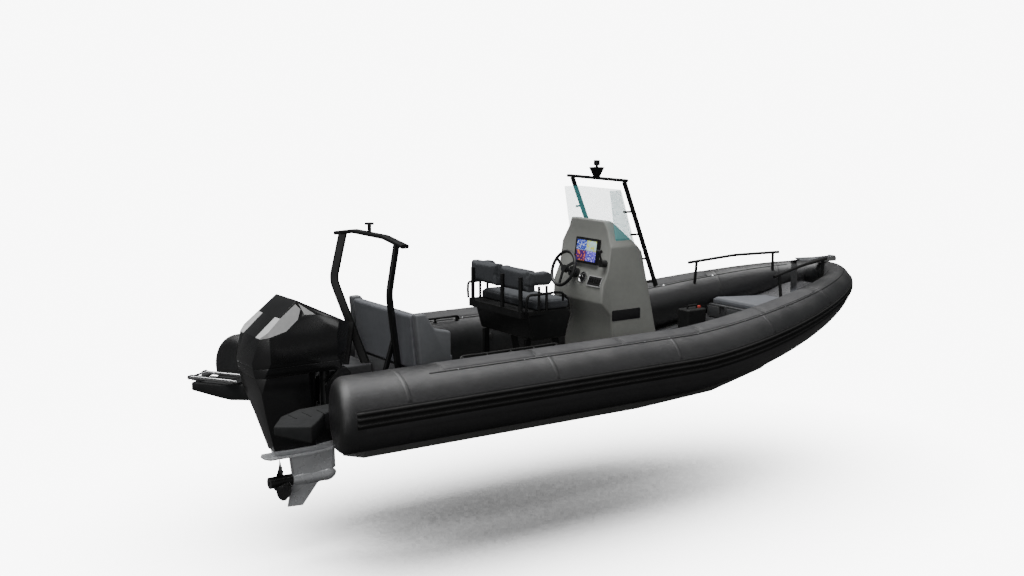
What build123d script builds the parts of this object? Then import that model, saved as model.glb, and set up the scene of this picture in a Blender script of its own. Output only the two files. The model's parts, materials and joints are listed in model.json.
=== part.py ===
# Rigid-hulled inflatable boat with a centre console and one outboard engine.
# Millimetres. The origin is on the centreline at the hull's aft end, at the waterline.
# +X points to the bow, +Y to port and +Z up.
import os
from math import cos, pi, radians, sin

from build123d import *

os.makedirs("parts", exist_ok=True)

# Fits
seat_gap = 0.3
running_gap = 0.05
swing_gap = 6
cut_overrun = 20
quarter_turn = 90
full_turn = 360

# Buoyancy tubes: two straight runs that bend in and rise to meet at the bow
tube_radius = 289
tube_half_spacing = 980
tube_height = 280
tube_overhang = 290
tube_end_slant = 165
tube_end_round = 90
bow_start = 2730
bow_lead = 280
bow_rise = 433
bow_rise_start = 260
bow_rise_power = 1.42
bow_tube_radius = 128
bow_taper_power = 2.26
bow_turn_shares = (0, 0.16, 0.30, 0.44, 0.57, 0.67, 0.76, 0.835, 0.9, 0.955, 1)
direction_step_share = 0.01

# Rub strakes: a band with three ridges on the outer side of each tube
strake_start = -335
strake_base = 5
strake_height = 15
strake_low_angle = -9
strake_high_angle = 18
ridge_angles = (-4, 5, 13)
ridge_foot_angle = 2.6
ridge_top_angle = 1.3

# Anti-slip pads on top of the tubes, angles from straight up, outboard first
tread_start = 480
tread_thickness = 4
tread_out_angle = -24
tread_in_angle = 34
tread_turn_shares = (0, 0.16, 0.30, 0.44)

# Hull and deck
hull_length = 5640
keel_depth = 330
chine_depth = 165
chine_half_beam = 720
hull_half_beam = 800
deck_top = 80
deck_thickness = 25
sheer_top = 640
transom_x = 130
notch_half_width = 360
step_set_back = 940
locker_floor = 300
hull_top = deck_top - deck_thickness
hull_rise = sheer_top - hull_top
step_x = hull_length - step_set_back
bow_reach = hull_length + bow_lead - bow_start

# Transom board and quarter blocks
transom_thickness = 60
transom_top = 340
quarter_length = 590
quarter_inner = 240
quarter_half_beam = 700
quarter_top = 340

# Bathing platforms beside the engine
platform_top = 240
platform_depth = 150
platform_length = 790
platform_inner = 440
platform_outer = 998

# Boarding ladder, stowed flat on the port platform
ladder_pin_radius = 9
ladder_pin_height = 34
ladder_half_width = 124
ladder_length = 400
rail_radius = 16
rung_depth = 26
rung_thickness = 22
rail_wall = 2.5
knuckle_overlap = 2
ladder_heading = -56.5
ladder_origin = (-696, 939, platform_top)
ladder_way = Vector(cos(radians(ladder_heading)), sin(radians(ladder_heading)), 0)
ladder_plane = Plane(origin=ladder_origin, x_dir=ladder_way, z_dir=(0, 0, 1))
rail_y = ladder_half_width - rail_radius - 3 * knuckle_overlap
ear_thickness = 8
ear_y = 70
ear_start = -12
ear_end = 62
ear_rise = 13
ear_top = ladder_pin_height + ear_rise
hinge_plate_thickness = 6
hinge_plate_start = 30
knuckle_radius = 19
rail_bore = rail_radius - rail_wall
middle_radius = rail_bore - running_gap
middle_bore = middle_radius - rail_wall
inner_radius = middle_bore - running_gap
stage_start = 60
rung_gap = 6

# Aft arch
arch_foot = (554, 297, quarter_top)
arch_knee = (366, 492, 1055)
arch_head = (461, 467, 1482)
brace_foot = (385, 335, quarter_top)
brace_head = (470, 380, 690)
arch_bar_half_length = 590
arch_bar_bend = 270
arch_bar_drop = 45
arch_bar_round = 300
bar_width = 74
bar_depth = 34
bar_turn = 30
arch_knee_round = 220

# Aft bench
bench_half_width = 590
bench_front = 960
bench_base_aft = 600
bench_base_top = 400
bench_seat_top = 520
bench_back_top = 885
bench_back_aft = 548
wing_width = 75
wing_step_x = 725
wing_front_top = 720

# Helm seat
helm_half_width = 450
helm_aft = 1720
helm_front = 2190
pod_top = 770
pod_bottom = 500
helm_seat_top = 860
helm_back_top = 1135
helm_back_bottom = 925

# Console
console_half_width = 370
console_top = 1480
console_foot_front = 3270
console_top_half_width = 245
console_aft = 2590
console_shoulder = 1250

# Windscreen and hoop
screen_thickness = 8
screen_top = 1757
hoop_half_width = 385
hoop_top = 1862
hoop_head_x = 2812
hoop_foot_x = 3228
hoop_foot_z = 858
hoop_bar_half_length = 430

# Steering wheel
wheel_radius = 175
wheel_rim_radius = 15
wheel_set_back = 108
wheel_centre = (console_aft - wheel_set_back, 60, 1032)
wheel_lean = 20
wheel_hub_radius = 34
wheel_shaft_radius = 11
spoke_width = 26
spoke_depth = 10

# Bow locker and its lid
locker_half_width = 500
locker_tip_half_width = 270
locker_length = 640
locker_top = 430
lid_thickness = 20
locker_wall = 14
bow_cushion_thickness = 68
hinge_pin_radius = 6

# Bow fittings
bow_rail_radius = 15
roller_radius = 27

# Small sizes of the furniture
brace_share = 0.8
strut_round_share = 0.45
lamp_height = 76
lamp_radius = 16
lamp_cap_radius = 38
lamp_cap_height = 16
toe_recess = 60
soft_gap = 4
cushion_round = 22
bench_back_foot = 95
bench_wing_top = 756
wing_set_back = 80
pod_inset = 30
pod_rim = 60
helm_leg_y = 330
helm_leg_inset = 90
helm_leg_width = 70
helm_leg_depth = 30
foot_rest_inset = 30
foot_rest_height = 260
foot_rest_radius = 14
back_thickness = 90
back_inner_gap = 30
arm_front = 1915
arm_inner = 398
arm_overhang = 25
arm_low = 985
arm_high = 1115
arm_post_x = (1835, 1915)
arm_post_radius = 12
frame_depth = 36
frame_width = 30
frame_inset = 70
screen_foot = 1150
screen_front = 3070
screen_lean = 205
screen_depth = 440
screen_half_width = 342
screen_round = 75
screen_side_foot = 270
screen_side_head = 170
hoop_leg_y = 372
hoop_width = 46
hoop_depth = 28
stay_heights = (900, 1120, 1350, 1560)
stay_length = 90
stay_radius = 10
stay_inset = hoop_leg_y - screen_half_width - stay_radius
mast_height = 150
mast_radius = 13
mast_cap_radius = 29
mast_cap_height = 48
dish_height = 85
dish_foot_radius = 32
dish_radius = 72

wheel_hub_depth = 40
wheel_shaft_length = 140
spoke_turns = (90, 210, 330)
boss_depth = 60
boss_start = 95
boss_radius = 46
display_height_place = 150
display_y = -52
display_width = 340
display_height = 235
display_round = 14
display_depth = 26
throttle_place = 60
throttle_y = 318
throttle_box_depth = 60
throttle_box_radius = 34
lever_root_share = 0.7
throttle_lever = (-30, 0, 110)
throttle_lever_radius = 9
throttle_grip = 30
throttle_grip_radius = 14
lid_pin_x = step_x - 2 * swing_gap
lid_pin_z = 432
hinge_y = 260
hinge_half_width = 40
hinge_ear = 6
hinge_lug_radius = 10
hinge_drop = 60
hinge_set_back = 16
bow_rail_bend = 1500
bracket_length = 602
bracket_lead = 402
bracket_z = 842
bracket_half_width = 44
bow_post_length = 110
bow_post_inset = 10
bracket_wall = 5
bracket_cheek = 40
shank_length = 485
shank_lead = 345
shank_half_width = 12
shank_depth = 16
fluke_length = 300
fluke_half_width = 110
fluke_depth = 10
fluke_wing_share = 0.25
fluke_tip_share = 0.35
eye_set_back = 40
eye_z = 210
eye_radius = 30
eye_root = 22
eye_reach = 110
eye_thickness = 16
eye_bore = 14
can_set_back = 1560
can_place = (hull_length - can_set_back, 60)
can_length = 250
can_width = 170
can_height = 420
can_round = 30
can_handle_half = 60
can_handle_rise = 30
can_handle_radius = 9
clamp_aft = -15
clamp_low = 60
clamp_top = 425
clamp_hook = 15
clamp_hook_low = 255
clamp_tie_radius = 13
lug_radius = 38
swivel_half_width = 80
clamp_chamfer = 50
clamp_foot_chamfer = 75
clamp_shoulder = 100
clamp_crown_aft = 55
clamp_crown_fore = 18
clamp_ear_fore = 40
lug_side_gap = 1
vent_inner = 120
engine_aft = -450
engine_fore = 40
engine_half_width = 165
engine_top = 880
yoke_half_width = 40
plate_thickness = 12
splash_share = 0.72
splash_z = -212
skeg_thickness = 15
skeg_aft = -326
skeg_length = 386
skeg_low = -700
skeg_height = 220
leg_aft = -455
leg_length = 560
leg_height = 245
leg_half_width = 46
plate_aft = -530
plate_length = 637
plate_half_width = 98
gear_nose = 115
gear_shoulder = -200
gear_aft = -285
nose_length_share = 0.55
nose_radius_share = 0.68

# Outboard engine
tilt_x = 150
tilt_z = 395
tilt_pin_radius = 20
steer_x = 30
steer_shaft_radius = 25
swivel_radius = 45
swivel_low = -20
swivel_top = 400
clamp_inner = 95
clamp_thickness = 25
cowl_half_width = 245
cowl_floor = 440
mid_aft = -638
mid_length = 716
mid_low = -195
cowl_split = 520
cowl_wall = 14
cowl_aft = -657
cowl_length = 844
cowl_height = 590
vent_depth = 6
gear_axis_z = -468
gear_radius = 58
plate_z = -245
prop_radius = 178
prop_aft = -480
prop_fore = -292
prop_hub_radius = 47
prop_shaft_radius = 12
blade_count = 3
blade_chord = 158
blade_thickness = 13
blade_root_depth = 8
prop_pitch = 480


def finish(piece, name):
    # Gives a finished piece its name and writes it out.
    piece.part.label = name
    export_step(piece.part, f"parts/{name}.step")


def tube_at(turn_share):
    # Centre and radius of the port tube at a share of the bow's quarter turn.
    turn = radians(quarter_turn * turn_share)
    along = bow_reach * sin(turn)
    across = tube_half_spacing * cos(turn)
    climb_share = max(along - bow_rise_start, 0) / (bow_reach - bow_rise_start)
    height = tube_height + bow_rise * climb_share**bow_rise_power
    taper_share = (along / bow_reach) ** bow_taper_power
    radius = tube_radius - (tube_radius - bow_tube_radius) * taper_share
    return Vector(bow_start + along, across, height), radius


def tube_plane(centre, direction):
    # Local X is up and local Y is inboard, all round the port tube.
    return Plane(origin=centre, x_dir=(0, 0, 1), z_dir=direction)


def bow_frames(turn_shares):
    frames = []
    for share in turn_shares:
        centre, radius = tube_at(share)
        ahead, _ = tube_at(min(share + direction_step_share, 1))
        behind, _ = tube_at(max(share - direction_step_share, 0))
        direction = ahead - behind
        if share == 0:
            direction = Vector(1, 0, 0)
        if share == 1:
            direction = Vector(0, -1, 0)
        frames.append((tube_plane(centre, direction), radius))
    return frames


def straight_frame(x):
    return tube_plane((x, tube_half_spacing, tube_height), (1, 0, 0)), tube_radius


def tube_end_cut(extra):
    # What lies aft of the tube's slanted end, whose outboard side reaches further aft.
    end_plan = [
        (-tube_overhang - extra, tube_half_spacing - tube_radius),
        (-tube_overhang - extra - tube_end_slant, tube_half_spacing + tube_radius),
    ]
    slope = tube_end_slant / (2 * tube_radius)
    inner_y = tube_half_spacing - 2 * tube_radius
    outer_y = tube_half_spacing + 2 * tube_radius
    inner = (end_plan[0][0] + slope * tube_radius, inner_y)
    outer = (end_plan[1][0] - slope * tube_radius, outer_y)
    aft = -hull_length
    return plan_profile([inner, outer, (aft, outer_y), (aft, inner_y)], aft, hull_length)


def straight_form(extra):
    # The port tube's straight run, grown by extra all round.
    with BuildPart(mode=Mode.PRIVATE) as form:
        plane, radius = straight_frame(-2 * tube_overhang)
        with BuildSketch(plane):
            Circle(radius + extra)
        extrude(amount=2 * tube_overhang + bow_start)
        add(tube_end_cut(extra), mode=Mode.SUBTRACT)
        aft_edge = form.edges().filter_by(GeomType.LINE, reverse=True).sort_by(Axis.X)[0]
        fillet(aft_edge, tube_end_round + extra)
    return form.part


def bow_form(extra):
    # The port tube's bow chamber, grown by extra all round.
    with BuildPart(mode=Mode.PRIVATE) as form:
        for plane, radius in bow_frames(bow_turn_shares):
            with BuildSketch(plane):
                Circle(radius + extra)
        loft(ruled=True)
    return form.part


def tube_form(extra):
    # The whole port tube, grown by extra all round.
    with BuildPart(mode=Mode.PRIVATE) as form:
        add(straight_form(extra))
        add(bow_form(extra))
    return form.part


def at_angle(radius, angle):
    # A point of a tube section: angle from straight up, outboard negative.
    return radius * cos(radians(angle)), radius * sin(radians(angle))


def strake_point(radius, angle):
    # A point of a tube section: angle above the outboard side.
    return at_angle(radius, angle - quarter_turn)


def strake_section(radius):
    inner = radius + seat_gap
    outline = [strake_point(inner + strake_base, strake_low_angle)]
    for ridge in ridge_angles:
        outline.append(strake_point(inner + strake_base, ridge - ridge_foot_angle))
        outline.append(strake_point(inner + strake_height, ridge - ridge_top_angle))
        outline.append(strake_point(inner + strake_height, ridge + ridge_top_angle))
        outline.append(strake_point(inner + strake_base, ridge + ridge_foot_angle))
    outline.append(strake_point(inner + strake_base, strake_high_angle))
    low = strake_point(inner, strake_low_angle)
    high = strake_point(inner, strake_high_angle)
    middle = strake_point(inner, (strake_low_angle + strake_high_angle) / 2)
    with BuildLine() as band:
        Polyline(low, *outline, high)
        ThreePointArc(high, middle, low)
    make_face(band.edges())


def tread_section(radius):
    inner = radius + seat_gap
    outer = inner + tread_thickness
    middle_angle = (tread_out_angle + tread_in_angle) / 2
    with BuildLine() as pad:
        ThreePointArc(
            at_angle(inner, tread_out_angle), at_angle(inner, middle_angle), at_angle(inner, tread_in_angle)
        )
        Line(at_angle(inner, tread_in_angle), at_angle(outer, tread_in_angle))
        ThreePointArc(
            at_angle(outer, tread_in_angle), at_angle(outer, middle_angle), at_angle(outer, tread_out_angle)
        )
        Line(at_angle(outer, tread_out_angle), at_angle(inner, tread_out_angle))
    make_face(pad.edges())


def block(x_span, y_span, z_span):
    # A plain block between pairs of limits.
    size = [high - low for low, high in (x_span, y_span, z_span)]
    middle = [(low + high) / 2 for low, high in (x_span, y_span, z_span)]
    return Pos(*middle) * Box(*size, mode=Mode.PRIVATE)


def side_profile(points, half_width):
    # An outline in the XZ plane, carried across the boat.
    with BuildPart(mode=Mode.PRIVATE) as body:
        with BuildSketch(Plane.XZ):
            with BuildLine():
                Polyline(*points, close=True)
            make_face()
        extrude(amount=half_width, both=True)
    return body.part


def plan_profile(points, low, high):
    # An outline in plan, between two heights.
    with BuildPart(mode=Mode.PRIVATE) as body:
        with BuildSketch(Plane.XY.offset(low)):
            with BuildLine():
                Polyline(*points, close=True)
            make_face()
        extrude(amount=high - low)
    return body.part


def front_profile(points, aft, fore):
    # An outline in the YZ plane, carried along the boat.
    with BuildPart(mode=Mode.PRIVATE) as body:
        with BuildSketch(Plane.YZ.offset(aft)):
            with BuildLine():
                Polyline(*points, close=True)
            make_face()
        extrude(amount=fore - aft)
    return body.part


def between(shape, low, high):
    # What of a shape lies between two heights.
    limit = 2 * hull_length
    return shape & block((-limit, limit), (-limit, limit), (low, high))


def both_sides(points):
    # Adds the mirrored half of an outline that is given on the port side, forward to aft.
    return [*points, *[(x, -y) for x, y in reversed(points)]]


def both_widths(points):
    # The same for an outline of half widths and heights.
    return [*points, *[(-y, z) for y, z in reversed(points)]]


def placed(shares, start, size):
    # Outline points from shares of a box that starts at a corner.
    return [(start[0] + size[0] * u, start[1] + size[1] * v) for u, v in shares]


def along_hull(shares):
    # Points from shares of the hull's length, its half-beam and its sheer height.
    return [(hull_length * x, hull_half_beam * y, sheer_top * z) for x, y, z in shares]


def strut(start, end, width, depth, across=(0, 1, 0)):
    # A flat-oval bar between two points, its width turned away from across.
    start, end = Vector(*start), Vector(*end)
    plane = Plane(origin=start, x_dir=across, z_dir=end - start)
    with BuildPart(mode=Mode.PRIVATE) as bar:
        with BuildSketch(plane):
            RectangleRounded(depth, width, depth * strut_round_share)
        extrude(amount=(end - start).length)
    return bar.part


def rod(start, end, radius):
    start, end = Vector(*start), Vector(*end)
    return Solid.make_cylinder(radius, (end - start).length, Plane(origin=start, z_dir=end - start))


# Tubes
tube_space_port = tube_form(seat_gap)
tube_space_starboard = tube_space_port.mirror(Plane.XZ)

# Each is two chambers that meet where the bow's bend starts
with BuildPart() as tube_port:
    add(straight_form(0))
finish(tube_port, "tube_port")

with BuildPart() as tube_starboard:
    mirror(tube_port.part, about=Plane.XZ)
finish(tube_starboard, "tube_starboard")

with BuildPart() as tube_bow_port:
    add(bow_form(0))
finish(tube_bow_port, "tube_bow_port")

with BuildPart() as tube_bow_starboard:
    mirror(tube_bow_port.part, about=Plane.XZ)
finish(tube_bow_starboard, "tube_bow_starboard")

# Rub strakes
with BuildPart() as strake_port:
    for plane, radius in [straight_frame(strake_start), *bow_frames(bow_turn_shares)]:
        with BuildSketch(plane):
            strake_section(radius)
    loft(ruled=True)
finish(strake_port, "strake_port")

with BuildPart() as strake_starboard:
    mirror(strake_port.part, about=Plane.XZ)
finish(strake_starboard, "strake_starboard")

# Anti-slip pads
with BuildPart() as tread_port:
    for plane, radius in [straight_frame(tread_start), *bow_frames(tread_turn_shares)]:
        with BuildSketch(plane):
            tread_section(radius)
    loft(ruled=True)
finish(tread_port, "tread_port")

with BuildPart() as tread_starboard:
    mirror(tread_port.part, about=Plane.XZ)
finish(tread_starboard, "tread_starboard")

# Hull. Columns: length, keel depth, chine half-beam, chine depth, top half-beam, top rise
hull_station_shares = (
    (0.0, 0.91, 1.0, 0.97, 1.0, 0.0),
    (0.484, 1.0, 1.0, 1.0, 1.0, 0.0),
    (0.656, 0.97, 0.89, 0.91, 1.0, 0.06),
    (0.798, 0.76, 0.69, 0.36, 0.925, 0.3),
    (0.904, 0.33, 0.46, -0.55, 0.75, 0.59),
    (0.966, -0.27, 0.26, -1.58, 0.525, 0.79),
    (1.0, -1.0, 0.083, -2.6, 0.19, 1.0),
)
# Well plan. Columns: length share, half-beam share of the hull
well_plan_shares = ((0.84, 0.62), (0.8, 0.68), (0.656, 0.87), (0.53, 0.92), (0.5, 1.2), (-0.1, 1.2))
locker_plan = [
    (step_x + locker_length, locker_tip_half_width),
    (step_x, locker_half_width),
]
locker_seat_plan = [
    (step_x + locker_length + cut_overrun, locker_tip_half_width + cut_overrun),
    (step_x - cut_overrun, locker_half_width + cut_overrun),
]
notch = block((-hull_length, transom_x), (-notch_half_width, notch_half_width), (-hull_length, hull_length))

with BuildPart() as hull:
    for length, keel, chine_y, chine_z, top_y, top_z in hull_station_shares:
        chine = (chine_half_beam * chine_y, -chine_depth * chine_z)
        top = (hull_half_beam * top_y, hull_top + hull_rise * top_z)
        with BuildSketch(Plane.YZ.offset(hull_length * length)):
            with BuildLine():
                Polyline(
                    (0, -keel_depth * keel), chine, top, (-top[0], top[1]), (-chine[0], chine[1]), close=True
                )
            make_face()
    loft(ruled=True)
    well_plan = [(hull_length * x, hull_half_beam * y) for x, y in well_plan_shares]
    well_plan = [(min(x, step_x), y) for x, y in well_plan]
    add(plan_profile(both_sides(well_plan), hull_top, hull_length), mode=Mode.SUBTRACT)
    add(plan_profile(both_sides(locker_seat_plan), locker_floor, hull_length), mode=Mode.SUBTRACT)
    add(notch, mode=Mode.SUBTRACT)
    add(tube_space_port, mode=Mode.SUBTRACT)
    add(tube_space_starboard, mode=Mode.SUBTRACT)
finish(hull, "hull")

# Deck
with BuildPart() as deck:
    deck_plan = [(x, y) for x, y in well_plan if x > 0]
    deck_plan.append((0, well_plan[-1][1]))
    add(plan_profile(both_sides(deck_plan), hull_top, deck_top))
    add(notch, mode=Mode.SUBTRACT)
    add(tube_space_port, mode=Mode.SUBTRACT)
    add(tube_space_starboard, mode=Mode.SUBTRACT)
finish(deck, "deck")

# Transom board with a quarter block at each end
with BuildPart() as transom:
    board_fore = transom_x + transom_thickness
    add(block((transom_x, board_fore), (-notch_half_width, notch_half_width), (deck_top, transom_top)))
    for side in (1, -1):
        aft_span = sorted((side * notch_half_width, side * quarter_half_beam))
        add(block((0, board_fore), aft_span, (deck_top, quarter_top)))
        fore_span = sorted((side * quarter_inner, side * quarter_half_beam))
        add(block((board_fore, quarter_length), fore_span, (deck_top, quarter_top)))
    add(tube_space_port, mode=Mode.SUBTRACT)
    add(tube_space_starboard, mode=Mode.SUBTRACT)
finish(transom, "transom")

# Bathing platforms
platform_plan_shares = (
    (1, 0), (0.456, 0.072), (0.203, 0.305),
    (0, 0.728), (0.291, 1), (0.456, 0.735),
    (0.62, 0.43), (1, 0.43),
)
platform_side_shares = ((1, 1), (-0.03, 1), (-0.03, 0.587), (0.3, 0.12), (1, 0))

with BuildPart() as platform_port:
    low = platform_top - platform_depth
    plan_size = (platform_length, platform_outer - platform_inner)
    platform_plan = placed(platform_plan_shares, (-platform_length, platform_inner), plan_size)
    platform_side = placed(platform_side_shares, (-platform_length, low), (platform_length, platform_depth))
    add(plan_profile(platform_plan, low, platform_top))
    add(side_profile(platform_side, tube_half_spacing + tube_radius), mode=Mode.INTERSECT)
finish(platform_port, "platform_port")

with BuildPart() as platform_starboard:
    mirror(platform_port.part, about=Plane.XZ)
finish(platform_starboard, "platform_starboard")

# Boarding ladder. Its own plane has X along the rails, away from the hinge


def ladder_place(shape):
    return ladder_plane.location * shape


def ladder_rod(start, end, y, radius):
    low = (start, y, ladder_pin_height)
    high = (end, y, ladder_pin_height)
    return ladder_place(rod(low, high, radius))


def ladder_rung(x):
    z_span = (ladder_pin_height - rung_thickness / 2, ladder_pin_height + rung_thickness / 2)
    return ladder_place(block((x, x + rung_depth), (-rail_y, rail_y), z_span))


def ladder_pin(start, end, radius):
    return ladder_place(rod((0, start, ladder_pin_height), (0, end, ladder_pin_height), radius))


with BuildPart() as ladder_base:
    plate_y = ear_y + ear_thickness / 2
    add(ladder_place(block((hinge_plate_start, ear_end), (-plate_y, plate_y), (0, hinge_plate_thickness))))
    for side in (1, -1):
        ear_span = sorted((side * (ear_y - ear_thickness / 2), side * plate_y))
        add(ladder_place(block((ear_start, ear_end), ear_span, (0, ear_top))))
    add(ladder_pin(-ladder_half_width, ladder_half_width, ladder_pin_radius))
finish(ladder_base, "ladder_base")

rung_one = ladder_length - rung_depth
rung_two = ladder_length + rung_gap
rung_three = rung_two + rung_depth + rung_gap

with BuildPart() as ladder_rails:
    for side in (1, -1):
        add(ladder_rod(0, ladder_length, side * rail_y, rail_radius))
        knuckle_half = rail_radius + knuckle_overlap
        knuckle_span = sorted((side * (rail_y - knuckle_half), side * (rail_y + knuckle_half)))
        add(ladder_pin(*knuckle_span, knuckle_radius))
    add(ladder_rung(rung_one))
    add(ladder_rung(ear_end + rung_gap))
    for side in (1, -1):
        add(ladder_rod(stage_start, ladder_length, side * rail_y, rail_bore), mode=Mode.SUBTRACT)
    pin_space = ladder_pin(-ladder_half_width, ladder_half_width, ladder_pin_radius + running_gap)
    add(pin_space, mode=Mode.SUBTRACT)
finish(ladder_rails, "ladder_rails")

with BuildPart() as ladder_middle:
    for side in (1, -1):
        add(ladder_rod(stage_start + rung_gap, rung_two + rung_depth, side * rail_y, middle_radius))
    add(ladder_rung(rung_two))
    for side in (1, -1):
        tube_end = rung_two + rung_depth
        add(ladder_rod(stage_start, tube_end, side * rail_y, middle_bore), mode=Mode.SUBTRACT)
finish(ladder_middle, "ladder_middle")

with BuildPart() as ladder_end:
    for side in (1, -1):
        add(ladder_rod(stage_start + rung_gap, rung_three + rung_depth, side * rail_y, inner_radius))
    add(ladder_rung(rung_three))
finish(ladder_end, "ladder_end")

# Aft arch: a bar whose ends drop, on two legs that lean in towards their feet
def arch_bar_form(extra):
    bar_z = arch_head[2]
    ends = [(arch_head[0], side * arch_bar_half_length, bar_z - arch_bar_drop) for side in (-1, 1)]
    bends = [(arch_head[0], side * arch_bar_bend, bar_z) for side in (-1, 1)]
    with BuildPart(mode=Mode.PRIVATE) as bar:
        with BuildLine() as bar_line:
            FilletPolyline(ends[0], *bends, ends[1], radius=arch_bar_round)
        start = bar_line.line @ 0
        with BuildSketch(Plane(origin=start, x_dir=(1, 0, 0), z_dir=bar_line.line % 0)):
            depth = bar_depth + 2 * extra
            RectangleRounded(bar_width + 2 * extra, depth, depth * strut_round_share)
        sweep(path=bar_line.line)
    return bar.part


bar_across = (sin(radians(bar_turn)), cos(radians(bar_turn)), 0)

with BuildPart() as arch_leg_port:
    with BuildLine() as leg_line:
        FilletPolyline(arch_foot, arch_knee, arch_head, radius=arch_knee_round)
    start = leg_line.line @ 0
    with BuildSketch(Plane(origin=start, x_dir=bar_across, z_dir=leg_line.line % 0)):
        RectangleRounded(bar_depth, bar_width, bar_depth * strut_round_share)
    sweep(path=leg_line.line)
    add(strut(brace_foot, brace_head, bar_width * brace_share, bar_depth * brace_share, bar_across))
    add(between(arch_leg_port.part, quarter_top, arch_head[2] - arch_bar_drop / 2), mode=Mode.REPLACE)
    add(arch_bar_form(seat_gap), mode=Mode.SUBTRACT)
finish(arch_leg_port, "arch_leg_port")

with BuildPart() as arch_leg_starboard:
    mirror(arch_leg_port.part, about=Plane.XZ)
finish(arch_leg_starboard, "arch_leg_starboard")

with BuildPart() as arch_bar:
    add(arch_bar_form(0))
    lamp_top = arch_head[2] + bar_depth / 2 + lamp_height
    add(rod((arch_head[0], 0, arch_head[2]), (arch_head[0], 0, lamp_top), lamp_radius))
    add(rod((arch_head[0], 0, lamp_top - lamp_cap_height), (arch_head[0], 0, lamp_top), lamp_cap_radius))
finish(arch_bar, "arch_bar")

# Aft bench
with BuildPart() as bench_base:
    base_side = [
        (bench_base_aft, deck_top),
        (bench_front - toe_recess, deck_top),
        (bench_front, bench_base_top),
        (bench_base_aft, bench_base_top),
    ]
    add(side_profile(base_side, bench_half_width))
finish(bench_base, "bench_base")

with BuildPart() as bench_seat:
    seat_inner = bench_half_width - wing_width - soft_gap
    seat_x = (bench_base_aft + bench_back_foot, bench_front)
    add(block(seat_x, (-seat_inner, seat_inner), (bench_base_top + seat_gap, bench_seat_top)))
    fillet(bench_seat.edges().filter_by(Axis.Y), cushion_round)
finish(bench_seat, "bench_seat")

with BuildPart() as bench_back:
    back_side = [
        (bench_base_aft, bench_base_top + seat_gap),
        (bench_base_aft + bench_back_foot - soft_gap, bench_base_top + seat_gap),
        (bench_back_aft + bench_back_foot, bench_back_top),
        (bench_back_aft, bench_back_top),
    ]
    add(side_profile(back_side, seat_inner))
    fillet(bench_back.edges().filter_by(Axis.Y).group_by(Axis.Z)[-1], cushion_round)
finish(bench_back, "bench_back")

with BuildPart() as bench_wings:
    wing_side = [
        (bench_base_aft, bench_base_top + seat_gap),
        (bench_front - wing_set_back, bench_base_top + seat_gap),
        (bench_front - wing_set_back, wing_front_top),
        (wing_step_x, bench_wing_top),
        (bench_back_aft + bench_back_foot, bench_back_top),
        (bench_back_aft, bench_back_top),
    ]
    add(side_profile(wing_side, bench_half_width))
    inside = seat_inner + soft_gap
    add(block((0, bench_front), (-inside, inside), (0, bench_back_top * 2)), mode=Mode.SUBTRACT)
finish(bench_wings, "bench_wings")

# Helm seat
with BuildPart() as helm_pod:
    pod_side = [
        (helm_aft + pod_inset, pod_top),
        (helm_aft + pod_inset, pod_top - pod_rim),
        (helm_aft + 3 * pod_inset, pod_bottom),
        (helm_front - pod_inset, pod_bottom),
        (helm_front + pod_inset, pod_top - pod_rim),
        (helm_front, pod_top),
    ]
    add(side_profile(pod_side, helm_half_width - pod_inset))
finish(helm_pod, "helm_pod")

with BuildPart() as helm_legs:
    for side in (1, -1):
        y = side * helm_leg_y
        aft_foot = (helm_aft + helm_leg_inset, y, deck_top)
        aft_head = (helm_aft + helm_leg_inset, y, pod_bottom)
        fore_foot = (helm_front, y, deck_top)
        fore_head = (helm_front - helm_leg_inset, y, pod_bottom)
        for foot, head in ((aft_foot, aft_head), (fore_foot, fore_head)):
            add(strut(foot, head, helm_leg_width, helm_leg_depth))
        sill_y = sorted((y - helm_leg_depth / 2, y + helm_leg_depth / 2))
        sill_x = (aft_foot[0] - helm_leg_width, fore_foot[0])
        add(block(sill_x, sill_y, (deck_top, deck_top + helm_leg_depth)))
    rest_ends = [(helm_front - foot_rest_inset, side * helm_leg_y, foot_rest_height) for side in (-1, 1)]
    add(rod(*rest_ends, foot_rest_radius))
    trim = block((0, hull_length), (-hull_half_beam, hull_half_beam), (pod_bottom, 2 * pod_bottom))
    add(trim, mode=Mode.SUBTRACT)
    under = block((0, hull_length), (-hull_half_beam, hull_half_beam), (-deck_top, deck_top))
    add(under, mode=Mode.SUBTRACT)
finish(helm_legs, "helm_legs")

with BuildPart() as helm_cushion:
    add(
        block(
            (helm_aft + back_thickness + soft_gap, helm_front),
            (-helm_half_width, helm_half_width),
            (pod_top + seat_gap, helm_seat_top),
        )
    )
    fillet(helm_cushion.edges().filter_by(Axis.Y), cushion_round)
finish(helm_cushion, "helm_cushion")

for name, side in (("helm_back_port", 1), ("helm_back_starboard", -1)):
    with BuildPart() as helm_back:
        y_span = sorted((side * back_inner_gap, side * helm_half_width))
        x_span = (helm_aft, helm_aft + back_thickness)
        add(block(x_span, y_span, (helm_back_bottom, helm_back_top)))
        fillet(helm_back.edges().filter_by(Axis.Y), cushion_round)
        arm_span = sorted((side * arm_inner, side * (helm_half_width + arm_overhang)))
        arm_z = (arm_low + arm_high) / 2
        add(block((helm_aft + cushion_round, arm_front), arm_span, (arm_low, arm_high)))
        add(rod((arm_front, arm_span[0], arm_z), (arm_front, arm_span[1], arm_z), (arm_high - arm_low) / 2))
    finish(helm_back, name)

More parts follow.
